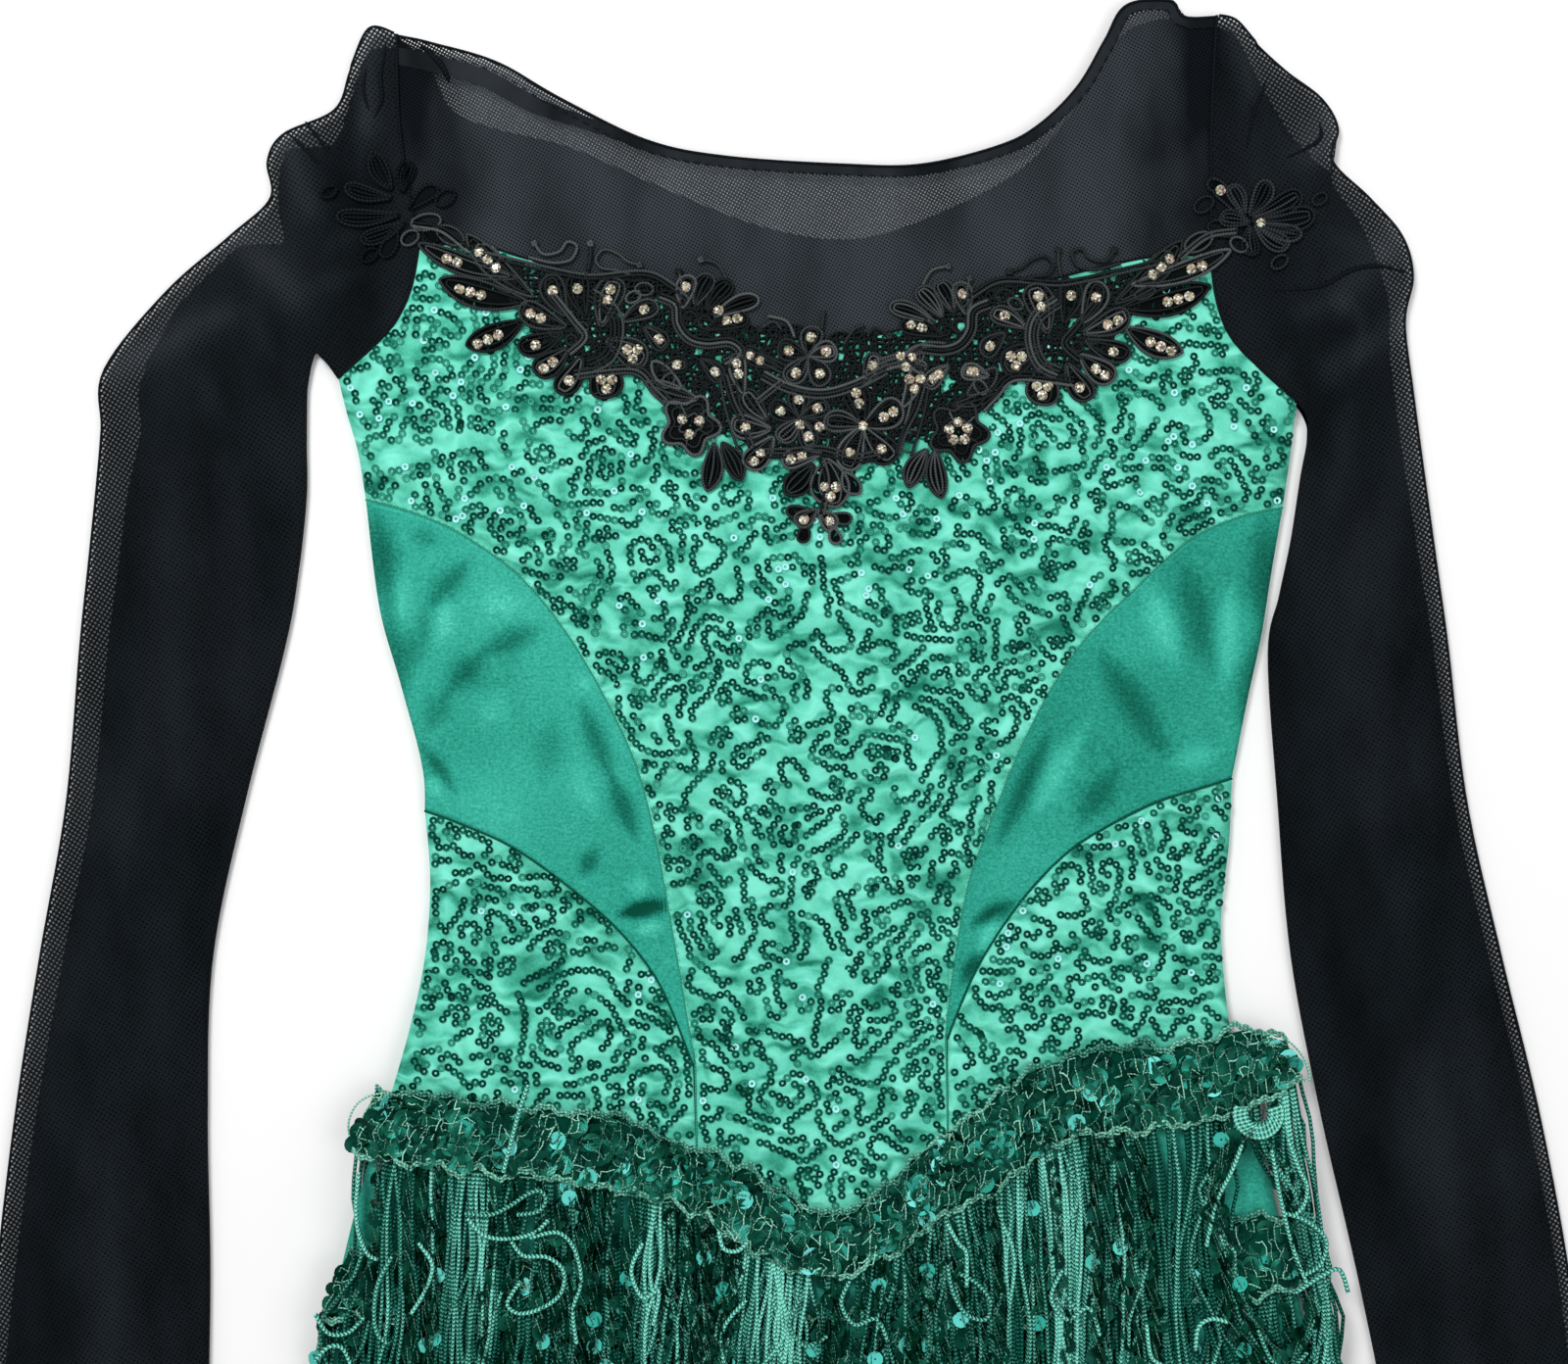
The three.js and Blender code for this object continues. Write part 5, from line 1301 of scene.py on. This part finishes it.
def make_stones(name, centres):
    """Round flat-backed stones: a girdle, eight long facets with small ones between, and a table."""
    R, TABLE, UP = 1.95, 1.05, 1.15
    a = np.arange(16) * np.pi / 8
    girdle = np.column_stack([R * np.cos(a), R * np.sin(a), np.full(16, 0.25)])
    foot = girdle * (1, 1, 0)
    table = np.column_stack([TABLE * np.cos(a[::2]), TABLE * np.sin(a[::2]), np.full(8, UP)])
    tris = []
    for k in range(8):
        g0, g1, g2 = girdle[2 * k - 1], girdle[2 * k], girdle[(2 * k + 1) % 16]
        tris += [(g0, g1, table[k]), (g1, g2, table[k]), (g2, table[(k + 1) % 8], table[k])]
        tris += [(table[k], table[(k + 1) % 8], (0, 0, UP))]
    for k in range(16):
        tris += [(foot[k - 1], foot[k], girdle[k]), (foot[k - 1], girdle[k], girdle[k - 1])]
    unit = np.array([[np.asarray(q, float) for q in t] for t in tris])
    n, k = len(unit), len(centres)
    spin = rng.random(k) * np.pi
    c, s = np.cos(spin)[:, None, None], np.sin(spin)[:, None, None]
    tilt = rng.normal(0, 0.07, (k, 2))
    x = unit[None, ..., 0] * c - unit[None, ..., 1] * s
    y = unit[None, ..., 0] * s + unit[None, ..., 1] * c
    z = unit[None, ..., 2] + x * tilt[:, 0, None, None] + y * tilt[:, 1, None, None]
    v = np.stack([x, y, z], -1) + centres[:, None, None]
    # A random tone for each facet: painted reflections, from dark to white.
    tone = np.repeat(rng.random((k, n)) ** 0.8, 3)
    make_mesh(name, v.reshape(-1, 3), [np.arange(k * n * 3).reshape(-1, 3)], stone, smooth_shade=False,
              attrs={"tone": tone})


bib = Lace()
for turn_over in (False, True):
    turned = mirrored if turn_over else (lambda p: np.array(p, float))
    for x0, y0, x1, y1, width, stones, pointed in PETALS:
        (x0, y0), (x1, y1) = turned([(x0, y0), (x1, y1)])
        bib.petal(x0, y0, x1, y1, width, stones, pointed)
    for count, points in BANDS:
        bib.band(count, turned(points))
    for points in SCROLLS:
        line = turned(points)
        bib.cord(smooth(line, 8), CORD, 0.2)
        bib.ball(*line[0], 1.3)
    for x, y, a, b, turn in LOOPS:
        (x, y), = turned([(x, y)])
        bib.loop(x, y, a, b, -turn if turn_over else turn)
    for x, y, radius, lobes, stones in FLOWERS:
        (x, y), = turned([(x, y)])
        bib.flower(x, y, radius, lobes, 5 if turn_over else stones)
    for points in LADDERS:
        bib.ladder(turned(points))
    bib.ground(turned(GROUND))
for row in MIDDLE_PETALS:
    bib.petal(*row)
for count, points in MIDDLE_BANDS:
    bib.band(count, points)
bib.stones += [np.array(p, float) for p in ((15.4, 151), (-8, 151.6), (43.6, 170.4), (56.7, 171),
                                            (-38.4, 194.2))]
bib.make("bib", "applique", lace_cord)
for s in SIDE:
    sprig = Lace(6.0)
    for x0, y0, x1, y1, width, stones, pointed in SPRIG_PETALS if s == "right" else LEFT_SPRIG_PETALS:
        ends = [(x0, y0), (x1, y1)]
        (x0, y0), (x1, y1) = mirrored(ends) if s == "right" else np.array(ends, float)
        sprig.petal(x0, y0, x1, y1, width, stones, pointed)
    for x, y, a, b in ((-140, 236, 4, 2.6), (-168, 214.5, 3.4, 2.2), (-183, 238, 3, 2)):
        (x, y), = mirrored([(x, y)]) if s == "right" else [(x, y)]
        sprig.loop(x, y, a, b, 0.6)
    if s == "right":
        sprig.stones.append(np.array((163.0, 226.5)))
    sprig.make("sprig_lace_" + s, "sprig_" + s, lace_dim if s == "left" else lace_mid)


# ---------------------------------------------------------------- sequin trims under netting
TIER_DROP, TIER_SPREAD, TIER_LEVEL = 54.0, 1.06, 0.45


def lowered(points, level):
    p = np.array(points, float)
    return np.column_stack([p[:, 0] * TIER_SPREAD,
                            p[:, 1] * (1 - TIER_LEVEL) + level * TIER_LEVEL - TIER_DROP])


TRIMS = {
    "upper": (np.array(TRIM_TOP, float), np.array(TRIM_BOTTOM, float)),
    "lower": (lowered(TRIM_TOP, -106), lowered(TRIM_BOTTOM, -132)),
}
thread_cord = cord_material("netting_thread", srgb(6, 62, 47), srgb(172, 238, 212), 1.3, 0.55, 1.0, 0.00015)
edge_cord = cord_material("edge_cord", srgb(4, 66, 50), srgb(140, 214, 190), 1.6, 0.5, 1.0, 0.0004)


def big_sequin_material():
    m = new_material("large_sequin", Roughness=0.25, Specular_IOR_Level=0.35, Specular_Tint=GREEN_GLOSS)
    tone = attr(m, "tone")
    plug(m, ramp(m, tone,
                 [(0.0, srgb(0, 24, 15)), (0.4, srgb(4, 50, 35)), (0.7, srgb(16, 82, 62)),
                  (0.85, srgb(36, 118, 98)),
                           (0.93, srgb(50, 168, 152)), (1.0, srgb(130, 244, 236))]), "Base Color")
    return m


big_sequin = big_sequin_material()
tulle = plain_material("trim_backing", srgb(4, 60, 46), 0.9, Specular_IOR_Level=0.1,
                       Specular_Tint=GREEN_GLOSS)
nb = bump(tulle, noise(tulle, coords(tulle), 0.8, 3.0),
          0.0005)
plug(tulle, nb, "Normal")


def glint(tone, per, segments, r):
    """A tone that turns from dark to light across each disc, as light slides over a cup."""
    turn = r.random(len(tone)) * 2 * np.pi
    way = np.cos(np.tile(np.arange(per) % segments * 2 * np.pi / segments, len(tone)) - np.repeat(turn, per))
    ring = np.tile(np.arange(per) // segments, len(tone))
    base = np.repeat(tone, per)
    return np.where(base > 0.9, base, (base + 0.2 * way * (ring > 0)).clip(0, 0.9))


def trim(name, top_line, bottom_line, count, seed):
    r = np.random.default_rng(seed)
    n = 130
    top, bottom = spline(top_line, n), spline(bottom_line, n)
    v = (np.arange(9) / 8)[:, None, None]
    plan = top[None] * (1 - v) + bottom[None] * v
    plan = plan[::-1]
    rise = lambda w: 0.5 + 1.9 * smoothstep(0.1, 0.45, w)
    z = TRIM_BASE + rise(v[::-1, :, 0]) * np.ones((1, n + 1))
    verts, faces = wall(plan, z, z + 0.7)
    ob = make_mesh("trim_band_" + name, verts, faces, tulle)
    declare_sheet(ob, plan, strip=True)
    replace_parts(ob, "trim_" + name)

    def at(u, w, up):
        a = np.column_stack([np.interp(u * n, np.arange(n + 1), top[:, k]) for k in (0, 1)])
        b = np.column_stack([np.interp(u * n, np.arange(n + 1), bottom[:, k]) for k in (0, 1)])
        p = a * (1 - w[:, None]) + b * w[:, None]
        return np.column_stack([p, TRIM_BASE + rise(w) + 0.7 + up])

    u, w = r.random(count), 0.1 + 0.8 * r.random(count)
    tilt = np.abs(r.normal(0.22, 0.2, count)).clip(0, 0.9)
    way = r.random(count) * 2 * np.pi
    nrm = np.column_stack([np.sin(tilt) * np.cos(way), np.sin(tilt) * np.sin(way), np.cos(tilt)])
    vv, ff, per = rings(at(u, w, 0.5 + 0.9 * r.random(count)), nrm, [0.4, 1.6, 3.4], [0.1, 0.12, 0.42], 12)
    tone = r.random(count) * 0.84
    # Painted glints: about one sequin in twenty is drawn bright cyan to near white.
    tone = np.where(r.random(count) < 0.05, 0.9 + 0.1 * r.random(count), tone)
    make_mesh("trim_sequins_" + name, vv, ff, big_sequin, False, {"tone": glint(tone, per, 12, r)})

    # Netting: a jittered honeycomb of thread over the sequins.
    length = np.linalg.norm(np.diff(top, axis=0), axis=1).sum()
    cols, rows_n = int(length / 2.7), 7
    gu = (np.arange(cols + 1) / cols)[None] + r.normal(0, 0.28 / cols, (rows_n + 1, cols + 1))
    gw = (np.arange(rows_n + 1) / rows_n)[:, None] + r.normal(0, 0.045, (rows_n + 1, cols + 1))
    gu, gw = gu.clip(0, 1), gw.clip(0, 1)
    p = at(gu.ravel(), gw.ravel(), 1.5 + 0.5 * r.random(gu.size)).reshape(rows_n + 1, cols + 1, 3)
    links = []
    for j in range(rows_n + 1):
        for i in range(cols):
            if (i + j) % 2 == 0 or r.random() < 0.12:
                links.append((p[j, i], p[j, i + 1]))
            if j < rows_n and r.random() < 0.7:
                links.append((p[j, i], p[j + 1, i]))
    links = np.array(links)
    middle = links.mean(1) + r.normal(0, 0.45, (len(links), 3)) * (1, 1, 0.4) + (0, 0, 0.3)
    paths = np.stack([links[:, 0], middle, links[:, 1]], 1)
    vv, ff, along, around, num = tubes(paths, 0.14 + 0.16 * r.random((len(links), 1)) * np.ones((1, 3)), 4,
                                       caps=False)
    shade = 0.1 + 1.7 * r.random(len(links)) * noise2(links[:, 0, 0] / 9, links[:, 0, 1] / 5, seed)
    make_mesh("trim_netting_" + name, vv, ff, thread_cord, True,
              {"along": along, "around": around, "tone": shade[num]})

    # The two edges: wavering double cords.
    parts = []
    for w0, swing in ((0.0, 1.6), (1.0, 1.3)):
        for offset in (0.0, 0.9):
            k = 520
            uu = np.linspace(0, 1, k)
            s = uu * length
            wave = 1.3 * np.sin(s * 2 * np.pi / 15 + 5 * noise2(s / 40, s * 0, seed)) + 0.5 * np.sin(s * 2
                    * np.pi / 4.6)
            sway = wave + swing * (noise2(s / 6.5, s * 0 + w0 * 7, seed) - 0.5) * 2
            q = at(uu, np.full(k, w0), 1.1 + 0.3 * np.sin(s * 2.1 + offset * 5))
            q[:, 1] += sway + offset * 1.3
            part = bar(q, 0.55, 5, 0.0)
            run = part[2]["along"]
            part[2]["tone"] = 0.1 + 0.3 * w0 + 0.2 * offset + 0.6 * noise2(run / 21, run * 0 + 3 * w0, seed)
            parts.append(part)
    parts_mesh("trim_edges_" + name, parts, edge_cord)


trim("upper", *TRIMS["upper"], 760, 31)
trim("lower", *TRIMS["lower"], 620, 37)

# ---------------------------------------------------------------- fringe
# root line: 0 top to 1 bottom of the trim, length, its spread, cords, sequin strands, seed
FRINGES = {
    "upper": dict(share=0.8, end=-262.0, ragged=7.0, cords=420, strands=74, low=8.2, run=11.8, seed=41),
    "lower": dict(share=0.8, end=-308.0, ragged=6.0, cords=230, strands=50, low=7.9, run=8.3, seed=43),
}
BACK_TIER = dict(end=-298.0, ragged=5.0, cords=120, low=1.4, run=1.5, seed=47)
# Locks of the upper fringe: x at the root, half width, how thick the cords lie,
# lean to the right, fanning out.
LOCKS = [
    (-158, 7, 0.35, -3, 0.0), (-130, 13, 1.0, 1, -0.1), (-97, 6, 0.4, 3, 0.0), (-62, 11, 1.0, -6, -0.3),
    (-36, 6, 0.5, 2, 0.0), (-17, 14, 1.0, 0, 0.5), (24, 6, 0.5, -3, 0.0), (47, 8, 0.8, 4, 0.2),
    (69, 7, 0.6, 1, 0.0),
    (90, 11, 1.0, -2, -0.3), (117, 6, 0.4, 3, 0.0), (141, 8, 0.9, -5, 0.2), (169, 7, 0.9, 3, 0.0)]
# Where the cords catch the light: x, y, half width, half length, how much.
GLEAMS = [
    (-135, -145, 10, 30, 0.6), (-62, -160, 9, 32, 1.0), (-18, -178, 15, 20, 0.9), (-45, -196, 8, 14, 0.5),
    (47, -158, 7, 22, 0.45), (68, -170, 6, 18, 0.35), (91, -150, 7, 26, 0.85), (110, -186, 7, 16, 0.3),
    (141, -130, 6, 26, 0.45), (170, -140, 5, 26, 0.8), (-98, -170, 7, 20, 0.35), (-168, -160, 5, 18, 0.5)]
chainette = cord_material("chainette", srgb(0, 24, 15), srgb(152, 250, 230), 1.5, 0.42, 2.6, 0.0005,
                          GREEN_GLOSS, True,
                          srgb(26, 104, 86), 0.44)


def fringe(name, root_line, spec):
    r = np.random.default_rng(spec["seed"])
    line = resample(smooth(root_line), 400)
    k = spec["cords"]
    steps = 22

    def paths(u, loose, lift_by, k):
        root = np.column_stack([np.interp(u * 400, np.arange(401), line[:, c]) for c in (0, 1)])
        end = spec["end"] + r.normal(0, spec["ragged"], k)
        t = np.linspace(0, 1, steps)[None]
        y = root[:, 1:2] + (end[:, None] - root[:, 1:2]) * t
        fall = root[:, 1:2] - y
        x = root[:, 0:1] + fall * (root[:, 0:1] / 190.0) ** 3 * np.where(root[:, 0:1] < 0, 0.14, 0.22)
        if name == "upper":
            for at, half, _, lean, fan in LOCKS:
                own = np.exp(-(((root[:, 0:1] - at) / half) ** 2)) * smoothstep(0, 75, fall)
                x = x + own * (lean + fan * (root[:, 0:1] - at))
        # Neighbours clump and part together; each cord has its own small waves.
        x = x + (6.0 * smoothstep(0, 60, fall)
                 * (noise2(root[:, 0:1] / 17 + 0 * y, y / 90, spec["seed"]) - 0.5) * 2)
        x = x + (loose[:, None] * smoothstep(0, 30, fall)
                 * (noise2(np.arange(k)[:, None] * 7.3 + 0 * y, y / 26, 5) - 0.5) * 2)
        if name == "upper":
            part = (np.exp(-(((root[:, 0:1] - 156) / 12) ** 2))
                    * smoothstep(-110, -138, y) * (1 - smoothstep(-174, -196, y)))
            x = x + np.sign(root[:, 0:1] - 156) * 12 * part
        z = (spec["low"] + (spec["run"] - spec["low"]) * smoothstep(0, 20, fall)
             + lift_by[:, None] * smoothstep(0, 15, fall))
        z = z - (spec["run"] - 9.6) * smoothstep(95, 130, fall) * (name == "upper")
        outside = np.maximum(0, np.abs(x) - 178) / 14
        if name == "lower":
            z = z - 4.4 * smoothstep(0, 1, outside)
        return np.stack([x, y, z], -1)

    def crowded(count, cords):
        """Places along the root where cords, or else sequin strands, lie thick."""
        u = r.random(count * 5)
        if name == "upper":
            x = np.interp(u * 400, np.arange(401), line[:, 0])
            thick = sum(much * np.exp(-(((x - at) / half) ** 2)) for at, half, much, _, _ in LOCKS).clip(0,
                    1)
        else:
            thick = noise2(u * 19, u * 0, spec["seed"])
        keep = r.random(len(u)) < (0.22 + 0.78 * thick if cords else 1.0 - 0.9 * thick)
        return np.sort(u[keep][:count])

    u = crowded(k, True)
    k = len(u)
    loose = np.where(r.random(k) < 0.35, 9.0, 2.8)
    layer = r.random(k)
    P = paths(u, loose, 1.9 * layer, k)
    v, f, along, around, num = tubes(P, 0.72, 5)
    # Painted highlight: gleam lightens patches of cord, most at the places in GLEAMS; painted shade: cords
    # lying lower, with smaller layer, are darker.
    gleam = 0.6 * smoothstep(0.5, 0.98, noise2(v[:, 0] / 5.2, v[:, 1] / 26 + v[:, 0] / 22, 8))
    for x0, y0, half, long, much in GLEAMS:
        gleam = gleam + 0.75 * much * np.exp(-(((v[:, 0] - x0) / half) ** 2) - ((v[:, 1] - y0) / long) ** 2)
    shade = (-0.12 + 0.5 * layer + r.normal(0, 0.15, k))[num] + gleam * (0.25 + 0.75 * layer[num])
    parts = [(v, f, {"along": along, "around": around, "tone": shade.clip(0, 1.0)})]
    if name == "upper":
        for points in LOOSE_CORDS:
            q = smooth(points, 10)
            top = 15.0 + 0.6 * np.sin(np.linspace(0, 7, len(q)))
            parts.append(bar(np.column_stack([q, top]), 0.82, 6, 0.55 + 0.4 * r.random()))
        for j in range(6):
            th = np.linspace(0.12 * np.pi, -1.12 * np.pi, 26)
            rad = 4.2 + 0.9 * j
            q = np.column_stack([160.5 + rad * np.cos(th), -103 + rad * np.sin(th),
                                 np.full(26, 12.6 + 0.15 * j)])
            parts.append(bar(q, 0.8, 6, 0.6 + 0.4 * (j % 2)))
    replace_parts(parts_mesh("fringe_cords_" + name, parts, chainette), "fringe_" + name)
    if name == "back":
        return

    # Strands of large sequins between the cords, with the thread that holds them.
    u = crowded(spec["strands"], False)
    k = len(u)
    P = paths(u, np.full(k, 2.5), 0.6 + 1.5 * r.random(k), k)
    count = 30
    s = (np.arange(count) + 0.5) / count * (steps - 1)
    i = s.astype(int)
    w = (s - i)[None, :, None]
    C = P[:, i] * (1 - w) + P[:, i + 1] * w
    C = C + r.normal(0, 0.9, C.shape) * (1, 1, 0.3)
    C = C.reshape(-1, 3)
    tilt = r.uniform(0.55, 1.3, len(C))
    flat_ones = r.random(len(C)) < 0.15
    tilt = np.where(flat_ones, r.uniform(0, 0.3, len(C)), tilt)
    way = np.where(r.random(len(C)) < 0.5, 0, np.pi) + r.normal(0, 0.4, len(C))
    nrm = np.column_stack([np.sin(tilt) * np.cos(way), np.sin(tilt) * np.sin(way), np.cos(tilt)])
    vv, ff, per = rings(C + (0, 0, 0.4), nrm, [0.4, 3.0], [0.0, 0.35], 10)
    tone = r.random(len(C)) * 0.6
    # Painted glints: a quarter of the flat-lying sequins are drawn bright.
    tone = np.where(flat_ones & (r.random(len(C)) < 0.25), 0.92 + 0.05 * r.random(len(C)), tone)
    make_mesh("fringe_sequins_" + name, vv, ff, big_sequin, False, {"tone": glint(tone, per, 10, r)})
    zig = P[:, :, None].repeat(2, 2)[:, :-1].reshape(k, -1, 3).copy()
    zig[:, ::2, 0] += 1.0
    zig[:, 1::2, 0] -= 1.0
    zig = zig + r.normal(0, 0.35, zig.shape) * (1, 1, 0.3) + (0, 0, 1.2)
    vv, ff, along, around, num = tubes(zig, 0.2, 4, caps=False)
    make_mesh("fringe_threads_" + name, vv, ff, thread_cord, True,
              {"along": along, "around": around, "tone": r.random(k)[num] * 0.45})


# Wisps of clear net that stand out past the ends of the upper trim.
WISPS = [
    [(-159, -95.5), (-167, -97), (-172.5, -101), (-175, -108), (-173, -115), (-167, -120)],
    [(-160, -97), (-166, -100), (-169.5, -105), (-169, -112), (-164, -117)],
    [(161, -74), (168, -74.5), (174, -78), (178.5, -84), (180, -91), (173, -90)],
    [(163, -77), (169, -78), (173, -83), (172, -89)]]

# Loose cords that wander on top of the fringe.
LOOSE_CORDS = [
    [(-131, -139), (-122, -139.5), (-115, -136.5), (-108, -132), (-103.5, -131), (-101.5, -134.5),
     (-104.5, -138.5),
     (-112, -139.5)],
    [(-130, -141), (-124, -147), (-115, -148.5), (-106, -146.5), (-100.5, -141.5)],
    [(-114, -149.5), (-109.5, -154.5), (-101, -155), (-95, -160), (-96, -168.5), (-103, -174), (-111, -176),
     (-115.5, -173), (-113.5, -168), (-110.5, -164)],
    [(-107, -148), (-97, -146), (-91, -152), (-88.5, -164), (-91.5, -175), (-90, -187)],
    [(-170, -124), (-171, -137), (-170, -147), (-167, -154), (-163, -156)],
    [(-158, -155), (-163, -165), (-164.5, -177), (-163, -184), (-159, -187)],
    [(-186, -176), (-181, -183), (-174, -183), (-168, -177)],
    [(-186, -193), (-181, -188), (-176, -189), (-172, -197)],
    [(-28, -171), (-35, -179), (-37, -187), (-35, -199)],
    [(-38, -146), (-36, -152), (-31, -153), (-27, -149)],
    [(46, -143), (50, -150), (53, -154), (53, -166)],
    [(46, -158), (48, -168), (53, -176), (60, -178), (62, -172), (57, -165), (50, -161)],
    [(171, -112), (175, -123), (178, -129), (177, -136), (173, -140)],
    [(170, -139), (178, -142), (185, -149), (183, -158), (176, -162)],
    [(137, -189), (138, -181), (143, -178), (149, -179)],
    [(174, -168), (183, -162), (190, -160), (193, -168)], [(119, -180), (121, -192), (128, -196)],
    [(160, -182), (165, -193), (172, -196), (178, -190)],
    [(10, -164), (7, -172), (12, -180), (20, -178), (24, -186)],
    [(-66, -150), (-70, -160), (-66, -170), (-60, -168), (-62, -180)],
    [(154, -114), (150, -124), (145, -135), (141, -151)],
    [(165, -116), (168, -133), (173, -152), (178, -165)],
    [(-148, -150), (-143, -158), (-146, -168), (-151, -176)],
    [(-108, -92), (-111, -101), (-114, -112), (-117, -124)],
    [(88, -160), (84, -170), (90, -178), (98, -174), (102, -184)],
    [(-8, -170), (-12, -180), (-6, -188), (2, -184)]]

for name, spec in FRINGES.items():
    top_line, bottom_line = TRIMS[name]
    share = spec["share"]
    fringe(name, resample(smooth(top_line), 80) * (1 - share) + resample(smooth(bottom_line), 80) * share,
           spec)
parts = []
for points in WISPS:
    line = smooth(points, 10)
    parts.append(bar(np.column_stack([line, np.full(len(line), TRIM_BASE + 2.4)]), 0.4, 5, 0.75))
parts_mesh("trim_wisps", parts, thread_cord)
fringe("back", [(-172, -118), (-100, -124), (0, -128), (90, -122), (168, -112)], BACK_TIER)

# ---------------------------------------------------------------- floor and light
floor_me = bpy.data.meshes.new("floor")
floor_me.from_pydata([(-3, -3, -0.0004), (3, -3, -0.0004), (3, 3, -0.0004), (-3, 3, -0.0004)], [],
                     [(0, 1, 2, 3)])
floor_me.materials.append(plain_material("floor", (0.88, 0.88, 0.88), 0.9))
floor = bpy.data.objects.new("floor", floor_me)
bpy.context.scene.collection.objects.link(floor)

world = bpy.data.worlds.new("world")
bpy.context.scene.world = world
world.use_nodes = True
world.node_tree.nodes["Background"].inputs[0].default_value = (1, 1, 1, 1)
world.node_tree.nodes["Background"].inputs[1].default_value = 0.55


def area_light(name, place, target, size, power):
    data = bpy.data.lights.new(name, "AREA")
    data.shape, data.size, data.energy = "DISK", size, power
    ob = bpy.data.objects.new(name, data)
    ob.location = place
    ob.rotation_euler = (Vector(target) - Vector(place)).to_track_quat("-Z", "Y").to_euler()
    bpy.context.scene.collection.objects.link(ob)


area_light("key", (-0.7, 1.0, 1.5), (0, 0.05, 0), 0.7, 23)
area_light("fill", (1.1, -0.3, 1.4), (0, 0, 0), 1.2, 7)
